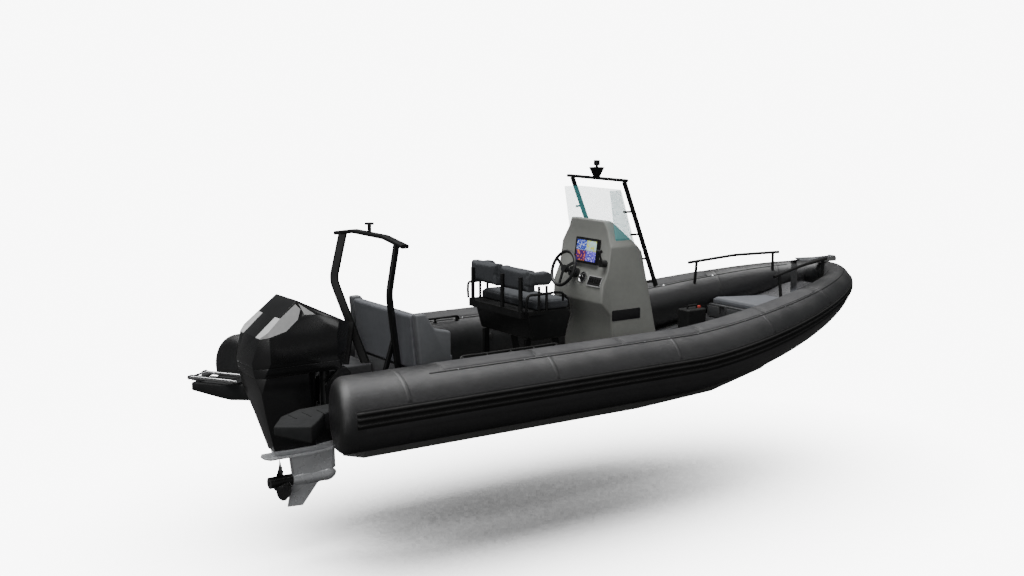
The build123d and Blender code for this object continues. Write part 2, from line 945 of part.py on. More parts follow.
with BuildPart() as helm_back_frame:
    frame_x = helm_aft - frame_depth / 2 - seat_gap
    for side in (1, -1):
        for inset in (back_inner_gap + frame_inset, helm_half_width - frame_inset):
            foot = (frame_x, side * inset, pod_top - pod_rim)
            head = (frame_x, side * inset, helm_back_top - frame_inset)
            add(strut(foot, head, frame_depth, frame_width, (0, 1, 0)))
    cross = [(frame_x, side * helm_half_width, pod_top - pod_rim / 2) for side in (-1, 1)]
    add(strut(*cross, frame_depth, frame_width, (0, 0, 1)))
    shelf_x = (frame_x - frame_depth / 2, helm_aft + pod_inset)
    shelf_z = (pod_top - pod_rim, pod_top)
    add(block(shelf_x, (-helm_half_width + pod_inset, helm_half_width - pod_inset), shelf_z))
    for side in (1, -1):
        post_y = side * (helm_half_width + arm_post_radius + soft_gap)
        beam_span = sorted((side * (helm_half_width - pod_inset), post_y + side * arm_post_radius))
        add(block((helm_aft, arm_post_x[1] + arm_post_radius), beam_span, (pod_top - pod_rim / 2, pod_top)))
        for x in arm_post_x:
            add(rod((x, post_y, pod_top - pod_rim / 2), (x, post_y, arm_low - seat_gap), arm_post_radius))
    add(helm_pod.part, mode=Mode.SUBTRACT)
finish(helm_back_frame, "helm_back_frame")

# Console shell and dash
console_side_shares = (
    (0.169, 1), (0.185, 0.943), (0.109, 0.686),
    (0.015, 0.586), (0, 0.471), (0.171, 0.386),
    (0.228, 0), (1, 0), (0.959, 0.257),
    (0.694, 0.793), (0.309, 0.994),
)
console_size = (console_foot_front - console_aft, console_top - deck_top)
console_side = placed(console_side_shares, (console_aft, deck_top), console_size)
console_front = [
    (console_half_width, deck_top),
    (console_half_width, console_shoulder),
    (console_top_half_width, console_top),
    (-console_top_half_width, console_top),
    (-console_half_width, console_shoulder),
    (-console_half_width, deck_top),
]
console_form = side_profile(console_side, console_half_width) & front_profile(console_front, 0, hull_length)

with BuildPart() as console:
    add(console_form)
finish(console, "console")

# Windscreen: a bent sheet that stands on the console's slope
with BuildPart() as windscreen:
    for radius, mode in ((0, Mode.ADD), (screen_thickness, Mode.SUBTRACT)):
        for height, set_back in ((screen_foot, 0), (screen_top + radius, screen_lean)):
            with BuildSketch(Plane.XY.offset(height)):
                with Locations((screen_front - set_back - screen_depth / 2, 0)):
                    size = (screen_depth - 2 * radius, 2 * screen_half_width - 2 * radius)
                    RectangleRounded(*size, screen_round - radius)
        loft(ruled=True, mode=mode)
    aft_cut = [
        (0, screen_foot - cut_overrun),
        (screen_front - screen_side_foot, screen_foot - cut_overrun),
        (screen_front - screen_lean - screen_side_head, screen_top + cut_overrun),
        (0, screen_top + cut_overrun),
    ]
    add(side_profile(aft_cut, hull_half_beam), mode=Mode.SUBTRACT)
    add(console_form, mode=Mode.SUBTRACT)
    top_cut = block((0, hull_length), (-hull_half_beam, hull_half_beam), (screen_top, 2 * screen_top))
    add(top_cut, mode=Mode.SUBTRACT)
finish(windscreen, "windscreen")

# Hoop over the windscreen
hoop_lean = (hoop_head_x - hoop_foot_x) / (hoop_top - hoop_foot_z)


def hoop_x(height):
    return hoop_foot_x + (height - hoop_foot_z) * hoop_lean


for name, side in (("hoop_leg_port", 1), ("hoop_leg_starboard", -1)):
    with BuildPart() as hoop_leg:
        foot = (hoop_x(hoop_foot_z), side * hoop_leg_y, hoop_foot_z)
        head = (hoop_x(hoop_top - hoop_depth), side * hoop_half_width, hoop_top - hoop_depth)
        add(strut(foot, head, hoop_width, hoop_depth))
        for height in stay_heights:
            start = (hoop_x(height), side * hoop_leg_y, height)
            end = (hoop_x(height) - stay_length, side * (hoop_leg_y - stay_inset), height)
            add(rod(start, end, stay_radius))
        add(console_form, mode=Mode.SUBTRACT)
        add(windscreen.part, mode=Mode.SUBTRACT)
        add(between(hoop_leg.part, 0, hoop_top - hoop_depth - seat_gap), mode=Mode.REPLACE)
    finish(hoop_leg, name)

with BuildPart() as hoop_bar:
    ends = [(hoop_head_x, side * hoop_bar_half_length, hoop_top - hoop_depth / 2) for side in (-1, 1)]
    add(strut(*ends, hoop_width, hoop_depth, (0, 0, 1)))
    mast_low = (hoop_head_x, 0, hoop_top - hoop_depth / 2)
    mast_high = (hoop_head_x, 0, hoop_top + mast_height)
    add(rod(mast_low, mast_high, mast_radius))
    dish = Cone(dish_foot_radius, dish_radius, dish_height, mode=Mode.PRIVATE)
    add(Pos(hoop_head_x, 0, hoop_top + dish_height / 2 - seat_gap) * dish)
    add(rod((hoop_head_x, 0, hoop_top + mast_height - mast_cap_height), mast_high, mast_cap_radius))
finish(hoop_bar, "hoop_bar")

# Steering wheel, on an axis that leans back towards the helmsman
wheel_axis = Vector(-cos(radians(wheel_lean)), 0, sin(radians(wheel_lean)))
wheel_plane = Plane(origin=wheel_centre, x_dir=(0, 1, 0), z_dir=wheel_axis)


def wheel_place(shape):
    return wheel_plane.location * shape


with BuildPart() as steering_wheel:
    add(wheel_place(Torus(wheel_radius - wheel_rim_radius, wheel_rim_radius, mode=Mode.PRIVATE)))
    add(wheel_place(rod((0, 0, -wheel_hub_depth), (0, 0, 0), wheel_hub_radius)))
    add(wheel_place(rod((0, 0, -wheel_shaft_length), (0, 0, 0), wheel_shaft_radius)))
    for turn in spoke_turns:
        spoke_y = (-spoke_width / 2, spoke_width / 2)
        spoke = block((0, wheel_radius - wheel_rim_radius), spoke_y, (-spoke_depth, 0))
        add(wheel_place(spoke.rotate(Axis.Z, turn)))
finish(steering_wheel, "steering_wheel")

with BuildPart() as helm_boss:
    add(wheel_place(rod((0, 0, -wheel_shaft_length - boss_depth), (0, 0, -boss_start), boss_radius)))
    bore = rod((0, 0, -wheel_shaft_length - running_gap), (0, 0, 0), wheel_shaft_radius + running_gap)
    add(wheel_place(bore), mode=Mode.SUBTRACT)
    add(console_form, mode=Mode.SUBTRACT)
finish(helm_boss, "helm_boss")

# Display on the upper dash
dash_low = Vector(console_side[2][0], 0, console_side[2][1])
dash_high = Vector(console_side[1][0], 0, console_side[1][1])
dash_up = (dash_high - dash_low).normalized()
dash_across = Vector(0, -1, 0)
dash_centre = dash_low + dash_up * display_height_place + Vector(0, display_y, 0)
dash_plane = Plane(origin=dash_centre, x_dir=dash_across, z_dir=dash_across.cross(dash_up))

with BuildPart() as display:
    with BuildSketch(dash_plane.offset(seat_gap)):
        RectangleRounded(display_width, display_height, display_round)
    extrude(amount=display_depth)
finish(display, "display")

with BuildPart() as throttle:
    lever_foot = dash_low + dash_up * throttle_place + Vector(0, -throttle_y, 0)
    aft = dash_plane.z_dir
    add(rod(lever_foot, lever_foot + aft * throttle_box_depth, throttle_box_radius))
    lever_root = lever_foot + aft * throttle_box_depth * lever_root_share
    lever_tip = lever_root + Vector(*throttle_lever)
    add(rod(lever_root, lever_tip, throttle_lever_radius))
    grip = Vector(0, throttle_grip, 0)
    add(rod(lever_tip - grip, lever_tip + grip, throttle_grip_radius))
    add(console_form, mode=Mode.SUBTRACT)
finish(throttle, "throttle")

# Bow locker, its lid and cushion
tub_top = locker_top - lid_thickness
with BuildPart() as bow_locker:
    add(plan_profile(both_sides(locker_plan), locker_floor, tub_top - seat_gap))
    cavity_plan = [
        (step_x + locker_length - locker_wall, locker_tip_half_width - locker_wall),
        (step_x + locker_wall, locker_half_width - locker_wall),
    ]
    cavity = plan_profile(both_sides(cavity_plan), locker_floor + locker_wall, locker_top)
    add(cavity, mode=Mode.SUBTRACT)
    for side in (1, -1):
        for y in (hinge_y - hinge_half_width, hinge_y + hinge_half_width):
            ear_span = sorted((side * (y - hinge_ear / 2), side * (y + hinge_ear / 2)))
            ear_x = (lid_pin_x - hinge_lug_radius, step_x + locker_wall)
            add(block(ear_x, ear_span, (tub_top - hinge_drop, lid_pin_z)))
        pin_span = sorted((side * (hinge_y - hinge_half_width), side * (hinge_y + hinge_half_width)))
        add(rod((lid_pin_x, pin_span[0], lid_pin_z), (lid_pin_x, pin_span[1], lid_pin_z), hinge_pin_radius))
finish(bow_locker, "bow_locker")

with BuildPart() as bow_lid:
    lid_plan = [
        (step_x + locker_length, locker_tip_half_width),
        (step_x + hinge_set_back, locker_half_width),
    ]
    add(plan_profile(both_sides(lid_plan), tub_top, locker_top))
    lug_half = hinge_half_width - hinge_ear
    for side in (1, -1):
        lug_span = sorted((side * (hinge_y - lug_half), side * (hinge_y + lug_half)))
        lug_low = (lid_pin_x, lug_span[0], lid_pin_z)
        lug_high = (lid_pin_x, lug_span[1], lid_pin_z)
        add(block((lid_pin_x, step_x + 2 * hinge_set_back), lug_span, (locker_top - hinge_ear, locker_top)))
        add(rod(lug_low, lug_high, hinge_lug_radius))
        add(rod(lug_low, lug_high, hinge_pin_radius + running_gap), mode=Mode.SUBTRACT)
finish(bow_lid, "bow_lid")

with BuildPart() as bow_cushion:
    cushion_plan = [
        (step_x + locker_length - soft_gap, locker_tip_half_width - soft_gap),
        (step_x + 2 * hinge_set_back + soft_gap, locker_half_width - soft_gap),
    ]
    cushion_z = (locker_top + seat_gap, locker_top + bow_cushion_thickness)
    add(plan_profile(both_sides(cushion_plan), *cushion_z))
    fillet(bow_cushion.edges().group_by(Axis.Z)[-1], cushion_round)
finish(bow_cushion, "bow_cushion")

# Bow handrails, each with two posts
bow_rail_shares = ((0.8014, 0.765, 1.3469), (0.8972, 0.6, 1.4344), (0.9858, 0.4125, 1.4531))
bow_post_shares = (
    ((0.8183, 0.735, 1.3625), (0.8191, 0.8, 0.6875)),
    ((0.9734, 0.4387, 1.45), (0.9734, 0.4313, 1)),
)


def bow_rail_form(extra):
    with BuildPart(mode=Mode.PRIVATE) as rail:
        with BuildLine() as rail_line:
            FilletPolyline(*along_hull(bow_rail_shares), radius=bow_rail_bend)
        with BuildSketch(Plane(origin=rail_line.line @ 0, z_dir=rail_line.line % 0)):
            Circle(bow_rail_radius + extra)
        sweep(path=rail_line.line)
    return rail.part


with BuildPart() as bow_rail_port:
    add(bow_rail_form(0))
finish(bow_rail_port, "bow_rail_port")

with BuildPart() as bow_rail_starboard:
    mirror(bow_rail_port.part, about=Plane.XZ)
finish(bow_rail_starboard, "bow_rail_starboard")

with BuildPart() as bow_posts_port:
    for ends in bow_post_shares:
        add(rod(*along_hull(ends), bow_rail_radius))
    add(bow_rail_form(seat_gap), mode=Mode.SUBTRACT)
    add(tube_space_port, mode=Mode.SUBTRACT)
    add(hull.part, mode=Mode.SUBTRACT)
finish(bow_posts_port, "bow_posts_port")

with BuildPart() as bow_posts_starboard:
    mirror(bow_posts_port.part, about=Plane.XZ)
finish(bow_posts_starboard, "bow_posts_starboard")

# Bow roller bracket and the anchor that lies in it
with BuildPart() as bow_roller:
    bracket_x = (hull_length + bracket_lead - bracket_length, hull_length + bracket_lead)
    post_aft = bracket_x[0] + bow_post_inset
    tray = block(bracket_x, (-bracket_half_width, bracket_half_width), (bracket_z, bracket_z + bracket_wall))
    add(tray)
    for side in (1, -1):
        cheek = sorted((side * bracket_half_width, side * (bracket_half_width - bracket_wall)))
        add(block(bracket_x, cheek, (bracket_z, bracket_z + bracket_cheek)))
    post_x = (post_aft, post_aft + bow_post_length)
    add(block(post_x, (-bracket_half_width, bracket_half_width), (locker_floor, bracket_z)))
    roller_x = bracket_x[1] - roller_radius
    roller_z = bracket_z + bracket_wall + roller_radius + seat_gap
    low = (roller_x, -bracket_half_width + bracket_wall, roller_z)
    high = (roller_x, bracket_half_width - bracket_wall, roller_z)
    add(rod(low, high, roller_radius))
    for space in (hull.part, tube_space_port, tube_space_starboard):
        add(space, mode=Mode.SUBTRACT)
finish(bow_roller, "bow_roller")

with BuildPart() as anchor:
    shank_z = bracket_z + bracket_cheek + seat_gap
    shank_fore = hull_length + shank_lead
    shank_x = (shank_fore - shank_length, shank_fore)
    add(block(shank_x, (-shank_half_width, shank_half_width), (shank_z, shank_z + shank_depth)))
    fluke = [
        (shank_x[0], 0),
        (shank_x[0] + fluke_length * fluke_wing_share, fluke_half_width),
        (shank_x[0] + fluke_length, fluke_half_width * fluke_tip_share),
    ]
    add(plan_profile(both_sides(fluke[1:]) + [fluke[0]], shank_z, shank_z + fluke_depth))
finish(anchor, "anchor")

# Fuel can on the fore deck
with BuildPart() as fuel_can:
    with BuildSketch(Plane.XY.offset(deck_top)):
        with Locations(can_place):
            RectangleRounded(can_length, can_width, can_round)
    extrude(amount=can_height)
    fillet(fuel_can.edges().group_by(Axis.Z)[-1], can_round / 2)
    handle_z = deck_top + can_height
    for end in (-1, 1):
        x = can_place[0] + end * can_handle_half
        post = [(x, can_place[1], z) for z in (handle_z - can_round, handle_z + can_handle_rise)]
        add(rod(*post, can_handle_radius))
    bar_x = [can_place[0] + end * can_handle_half for end in (-1, 1)]
    bar = [(x, can_place[1], handle_z + can_handle_rise) for x in bar_x]
    add(rod(*bar, can_handle_radius))
finish(fuel_can, "fuel_can")

# Towing eye on the stem
with BuildPart() as bow_eye:
    eye_x = hull_length - eye_set_back
    eye_side = rod((eye_x, -eye_thickness / 2, eye_z), (eye_x, eye_thickness / 2, eye_z), eye_radius)
    add(eye_side)
    root_z = (eye_z - eye_root, eye_z + eye_root)
    add(block((eye_x - eye_reach, eye_x), (-eye_thickness / 2, eye_thickness / 2), root_z))
    hole = rod((eye_x, -eye_thickness, eye_z), (eye_x, eye_thickness, eye_z), eye_bore)
    add(hole, mode=Mode.SUBTRACT)
    add(hull.part, mode=Mode.SUBTRACT)
finish(bow_eye, "bow_eye")

# Outboard: clamp bracket on the transom board
with BuildPart() as clamp_bracket:
    plate_side = [
        (clamp_aft, clamp_low + clamp_chamfer),
        (clamp_aft, swivel_top - clamp_shoulder),
        (tilt_x - clamp_crown_aft, clamp_top),
        (tilt_x + clamp_crown_fore, clamp_top),
        (tilt_x + clamp_ear_fore, tilt_z + soft_gap),
        (transom_x + transom_thickness + clamp_hook, tilt_z - clamp_hook),
        (transom_x + transom_thickness + clamp_hook, clamp_hook_low),
        (transom_x + transom_thickness + seat_gap, clamp_hook_low),
        (transom_x + transom_thickness + seat_gap, transom_top + seat_gap),
        (transom_x - seat_gap, transom_top + seat_gap),
        (transom_x - seat_gap, clamp_low),
        (clamp_aft + clamp_foot_chamfer, clamp_low),
    ]
    clamp_outer = clamp_inner + clamp_thickness
    add(side_profile(plate_side, clamp_outer))
    middle = block((-hull_length, hull_length), (-clamp_inner, clamp_inner), (-hull_length, hull_length))
    add(middle, mode=Mode.SUBTRACT)
    add(rod((tilt_x, -clamp_outer, tilt_z), (tilt_x, clamp_outer, tilt_z), tilt_pin_radius))
    tie = (transom_x - clamp_tie_radius * 2, clamp_low + clamp_tie_radius * 2)
    add(rod((tie[0], -clamp_outer, tie[1]), (tie[0], clamp_outer, tie[1]), clamp_tie_radius))
finish(clamp_bracket, "clamp_bracket")

# Swivel bracket, hung on the tilt pin
with BuildPart() as swivel_bracket:
    add(rod((steer_x, 0, swivel_low), (steer_x, 0, swivel_top), swivel_radius))
    arm_z = (tilt_z - lug_radius, swivel_top)
    add(block((steer_x, tilt_x), (-swivel_half_width, swivel_half_width), arm_z))
    lug_y = clamp_inner - lug_side_gap
    add(rod((tilt_x, -lug_y, tilt_z), (tilt_x, lug_y, tilt_z), lug_radius))
    pin_ends = [(tilt_x, y, tilt_z) for y in (-clamp_inner, clamp_inner)]
    pin_space = rod(*pin_ends, tilt_pin_radius + running_gap)
    add(pin_space, mode=Mode.SUBTRACT)
    low = (steer_x, 0, swivel_low - cut_overrun)
    high = (steer_x, 0, swivel_top + cut_overrun)
    add(rod(low, high, steer_shaft_radius + running_gap), mode=Mode.SUBTRACT)
finish(swivel_bracket, "swivel_bracket")

# Cowl: a faceted form from three outlines
cowl_side_shares = (
    (0.02, 0), (0, 0.203), (0.063, 0.542),
    (0.435, 1), (1, 0.602), (0.927, 0.153),
    (0.861, 0),
)
cowl_front_shares = (
    (0.865, 0), (1, 0.203), (1, 0.508), (0.776, 1),
)
cowl_plan_shares = (
    (1.004, 0.571), (0.814, 1), (0.139, 1), (-0.004, 0.612),
)
cowl_side = placed(cowl_side_shares, (cowl_aft, cowl_floor), (cowl_length, cowl_height))
cowl_front = placed(cowl_front_shares, (0, cowl_floor), (cowl_half_width, cowl_height))
cowl_plan = placed(cowl_plan_shares, (cowl_aft, 0), (cowl_length, cowl_half_width))


def shrunk(points, inset):
    # The same outline, smaller by the inset on every side of its box.
    shrunk_columns = []
    for column in zip(*points):
        middle = (min(column) + max(column)) / 2
        share = 1 - 2 * inset / (max(column) - min(column))
        shrunk_columns.append([middle + share * (value - middle) for value in column])
    return list(zip(*shrunk_columns))


def cowl_form(inset):
    with BuildPart(mode=Mode.PRIVATE) as form:
        add(side_profile(shrunk(cowl_side, inset), cowl_half_width))
        front = front_profile(shrunk(both_widths(cowl_front), inset), -hull_length, hull_length)
        add(front, mode=Mode.INTERSECT)
        plan = plan_profile(shrunk(both_sides(cowl_plan), inset), -hull_length, hull_length)
        add(plan, mode=Mode.INTERSECT)
    return form.part


side_vent_shares = (
    (0.423, 0.949), (0.025, 0.546), (0.068, 0.529),
    (0.305, 0.61), (0.432, 0.746), (0.468, 0.878),
)
fore_vent_shares = (
    (0.456, 0.953), (0.613, 0.788), (0.504, 0.8),
)
cowl_outside = cowl_form(0)
cowl_inside = cowl_form(cowl_wall)
vent_core = cowl_form(vent_depth)

with BuildPart() as vent_band:
    for shares in (side_vent_shares, fore_vent_shares):
        outline = placed(shares, (cowl_aft, cowl_floor), (cowl_length, cowl_height))
        add(side_profile(outline, 2 * cowl_half_width))
    middle = block((-hull_length, hull_length), (-vent_inner, vent_inner), (-hull_length, hull_length))
    add(middle, mode=Mode.SUBTRACT)

with BuildPart() as cowl_vents:
    add(cowl_outside)
    add(vent_core, mode=Mode.SUBTRACT)
    add(vent_band.part, mode=Mode.INTERSECT)
finish(cowl_vents, "cowl_vents")

with BuildPart() as cowl_upper:
    add(between(cowl_outside, cowl_split, hull_length))
    add(cowl_inside, mode=Mode.SUBTRACT)
    add(cowl_vents.part, mode=Mode.SUBTRACT)
finish(cowl_upper, "cowl_upper")

with BuildPart() as cowl_lower:
    add(between(cowl_outside, 0, cowl_split))
    add(cowl_inside, mode=Mode.SUBTRACT)
finish(cowl_lower, "cowl_lower")

with BuildPart() as engine_block:
    add(cowl_form(cowl_wall + seat_gap))
    engine_y = (-engine_half_width, engine_half_width)
    engine_size = block((engine_aft, engine_fore), engine_y, (cowl_floor, engine_top))
    add(engine_size, mode=Mode.INTERSECT)
finish(engine_block, "engine_block")

# Midsection, with the steering shaft and the yoke under the cowl
mid_side_shares = (
    (0, 1), (0.047, 0.835), (0.26, 0), (1, 0),
    (0.989, 0.181), (0.821, 0.25), (0.779, 0.307), (0.779, 1),
)
mid_front_shares = (
    (0.865, 1), (0.792, 0.835), (0.49, 0.48), (0.261, 0),
)
mid_plan_shares = (
    (1, 0.057), (0.772, 0.224), (0.591, 0.906), (0.137, 0.947), (-0.014, 0.612),
)
mid_size = (mid_length, cowl_floor - mid_low)
mid_side = placed(mid_side_shares, (mid_aft, mid_low), mid_size)
mid_front = placed(mid_front_shares, (0, mid_low), (cowl_half_width, mid_size[1]))
mid_plan = placed(mid_plan_shares, (mid_aft, 0), (mid_length, cowl_half_width))

with BuildPart() as midsection:
    add(side_profile(mid_side, cowl_half_width))
    mid_width = front_profile(both_widths(mid_front), -hull_length, hull_length)
    add(mid_width, mode=Mode.INTERSECT)
    add(plan_profile(both_sides(mid_plan), -hull_length, hull_length), mode=Mode.INTERSECT)
    yoke_z = (swivel_top + swing_gap, cowl_floor)
    yoke_x = (-2 * yoke_half_width - steer_x, steer_x + steer_shaft_radius)
    add(block(yoke_x, (-yoke_half_width, yoke_half_width), yoke_z))
    add(rod((steer_x, 0, swivel_low - 4 * cut_overrun), (steer_x, 0, cowl_floor), steer_shaft_radius))
finish(midsection, "midsection")

# Gearcase: leg, plates, torpedo and skeg
leg_side_shares = (
    (0.005, 1), (0.952, 1), (0.991, 0.755), (0.998, 0.061),
    (0.327, 0), (0.284, 0.755), (0.027, 0.796),
)
leg_plan_shares = (
    (1, 0.174), (0.92, 0.783), (0.598, 1), (0.277, 0.652), (0, 0.348),
)
plate_plan_shares = (
    (1, 0.041), (0.926, 0.633), (0.612, 1), (0.047, 0.939), (0, 0.408),
)
skeg_side_shares = (
    (0.111, 1), (1, 1), (0.689, 0.75), (0.337, 0), (0, 0.036),
)
leg_side = placed(leg_side_shares, (leg_aft, mid_low - leg_height), (leg_length, leg_height))
leg_plan = placed(leg_plan_shares, (leg_aft, 0), (leg_length, leg_half_width))
plate_plan = placed(plate_plan_shares, (plate_aft, 0), (plate_length, plate_half_width))
skeg_side = placed(skeg_side_shares, (skeg_aft, skeg_low), (skeg_length, skeg_height))

with BuildPart() as gearcase:
    add(side_profile(leg_side, cowl_half_width))
    add(plan_profile(both_sides(leg_plan), -hull_length, hull_length), mode=Mode.INTERSECT)
    add(plan_profile(both_sides(plate_plan), plate_z - plate_thickness, plate_z))
    splash_plan = [(x * splash_share, y * splash_share) for x, y in both_sides(plate_plan)]
    add(plan_profile(splash_plan, splash_z, splash_z + plate_thickness))
    add(side_profile(skeg_side, skeg_thickness / 2))
    with BuildSketch(Plane(origin=(0, 0, gear_axis_z), x_dir=(1, 0, 0), z_dir=(0, -1, 0))):
        with BuildLine():
            nose = (gear_nose, 0)
            shoulder = (gear_nose - 2 * gear_radius, gear_radius)
            nose_side = (gear_nose - gear_radius * nose_length_share, gear_radius * nose_radius_share)
            ThreePointArc(nose, nose_side, shoulder)
            hub_end = (gear_aft, prop_hub_radius)
            Polyline(shoulder, (gear_shoulder, gear_radius), hub_end, (gear_aft, 0), nose)
        make_face()
    revolve(axis=Axis((0, 0, gear_axis_z), (1, 0, 0)))
    add(rod((gear_aft, 0, gear_axis_z), (prop_aft + cut_overrun, 0, gear_axis_z), prop_shaft_radius))
finish(gearcase, "gearcase")

# Propeller. Blade columns: shares of the blade's reach, of its chord and of its thickness
blade_shares = (
    (0, 0.6, 1),
    (0.18, 0.84, 0.9),
    (0.4, 0.99, 0.78),
    (0.64, 1, 0.62),
    (0.84, 0.82, 0.5),
    (1, 0.46, 0.38),
)
prop_middle = (prop_aft + prop_fore) / 2


def blade_shape():
    root = prop_hub_radius - blade_root_depth
    with BuildPart(mode=Mode.PRIVATE) as blade:
        for share, chord_share, thickness_share in blade_shares:
            reach = root + (prop_radius - root) * share
            turn_per_pitch = prop_pitch / (2 * pi * reach)
            length = (1 + turn_per_pitch**2) ** 0.5
            chord_way = (turn_per_pitch / length, 1 / length, 0)
            plane = Plane(origin=(prop_middle, 0, gear_axis_z + reach), x_dir=chord_way, z_dir=(0, 0, 1))
            with BuildSketch(plane):
                Ellipse(blade_chord * chord_share / 2, blade_thickness * thickness_share / 2)
        loft(ruled=True)
    return blade.part


with BuildPart() as propeller:
    add(rod((prop_aft, 0, gear_axis_z), (prop_fore, 0, gear_axis_z), prop_hub_radius))
    prop_axis = Axis((0, 0, gear_axis_z), (1, 0, 0))
    one_blade = blade_shape()
    for index in range(blade_count):
        add(one_blade.rotate(prop_axis, full_turn * index / blade_count))
    bore_ends = [(prop_aft - cut_overrun, 0, gear_axis_z), (prop_fore + cut_overrun, 0, gear_axis_z)]
    add(rod(*bore_ends, prop_shaft_radius + running_gap), mode=Mode.SUBTRACT)
finish(propeller, "propeller")
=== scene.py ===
import json
import math

import bmesh
import bpy
import numpy as np
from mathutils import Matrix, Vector


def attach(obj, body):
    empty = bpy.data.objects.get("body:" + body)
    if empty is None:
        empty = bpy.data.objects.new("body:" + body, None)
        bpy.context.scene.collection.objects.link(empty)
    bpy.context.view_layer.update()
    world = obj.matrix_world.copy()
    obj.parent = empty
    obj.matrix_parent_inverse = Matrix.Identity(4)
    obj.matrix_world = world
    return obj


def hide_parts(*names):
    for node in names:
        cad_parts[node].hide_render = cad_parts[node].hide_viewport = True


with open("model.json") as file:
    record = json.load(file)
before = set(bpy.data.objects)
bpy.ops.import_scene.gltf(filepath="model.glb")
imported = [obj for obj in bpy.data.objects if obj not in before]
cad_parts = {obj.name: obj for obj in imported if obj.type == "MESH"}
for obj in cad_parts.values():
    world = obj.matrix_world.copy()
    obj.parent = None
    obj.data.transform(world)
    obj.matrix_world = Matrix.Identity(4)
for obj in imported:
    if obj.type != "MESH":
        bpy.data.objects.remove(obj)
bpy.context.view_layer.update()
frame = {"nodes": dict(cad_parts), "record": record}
print("stage: frame loaded")

# Shader maths


class Wire:
    # One value in a shader tree, with the usual arithmetic.
    def __init__(self, shade, socket):
        self.shade = shade
        self.socket = socket

    def worked(self, operation, *others):
        return self.shade.node("ShaderNodeMath", [self, *others], operation=operation)

    def __add__(self, other):
        return self.worked("ADD", other)

    def __mul__(self, other):
        return self.worked("MULTIPLY", other)

    def waved(self):
        return self.worked("SINE")

    def stepped(self, low, high):
        inputs = {"Value": self, "From Min": low, "From Max": high, "To Min": 0.0, "To Max": 1.0}
        return self.shade.node("ShaderNodeMapRange", inputs, interpolation_type="SMOOTHSTEP")


class Shade:
    # The node tree of one material.
    def __init__(self, name):
        self.material = bpy.data.materials.new(name)
        self.material.use_nodes = True
        self.tree = self.material.node_tree
        self.surface = self.tree.nodes["Principled BSDF"]

    def feed(self, target, value):
        if isinstance(value, Wire):
            self.tree.links.new(value.socket, target)
        elif hasattr(value, "__len__") and len(value) == 3 and target.type == "RGBA":
            target.default_value = (*value, 1.0)
        else:
            target.default_value = value

    def node(self, kind, inputs=(), output=0, **properties):
        made = self.tree.nodes.new(kind)
        for key, value in properties.items():
            setattr(made, key, value)
        pairs = inputs.items() if isinstance(inputs, dict) else enumerate(inputs)
        for key, value in pairs:
            self.feed(made.inputs[key], value)
        return Wire(self, made.outputs[output])

    def place(self, stretch=(1, 1, 1)):
        where = self.node("ShaderNodeTexCoord", output="Object")
        if stretch == (1, 1, 1):
            return where
        return self.node("ShaderNodeVectorMath", [where, stretch], operation="MULTIPLY")

    def axes(self, where=None):
        split = self.tree.nodes.new("ShaderNodeSeparateXYZ")
        self.feed(split.inputs[0], where or self.place())
        return [Wire(self, output) for output in split.outputs]

    def noise(self, scale, detail=3.0, stretch=(1, 1, 1)):
        inputs = {"Vector": self.place(stretch), "Scale": scale, "Detail": detail}
        return self.node("ShaderNodeTexNoise", inputs, output="Fac")

    def cells(self, scale, stretch=(1, 1, 1)):
        inputs = {"Vector": self.place(stretch), "Scale": scale}
        return self.node("ShaderNodeTexVoronoi", inputs, output="Distance")

    def mixed(self, share, first, second):
        made = self.tree.nodes.new("ShaderNodeMix")
        made.data_type = "RGBA"
        self.feed(made.inputs[0], share)
        self.feed(made.inputs[6], first)
        self.feed(made.inputs[7], second)
        return Wire(self, made.outputs[2])

    def bumped(self, height, depth):
        normal = self.node("ShaderNodeBump", {"Height": height, "Distance": depth, "Strength": 1.0})
        self.feed(self.surface.inputs["Normal"], normal)

    def facingUp(self):
        normal = self.node("ShaderNodeNewGeometry", output="Normal")
        return self.axes(normal)[2]


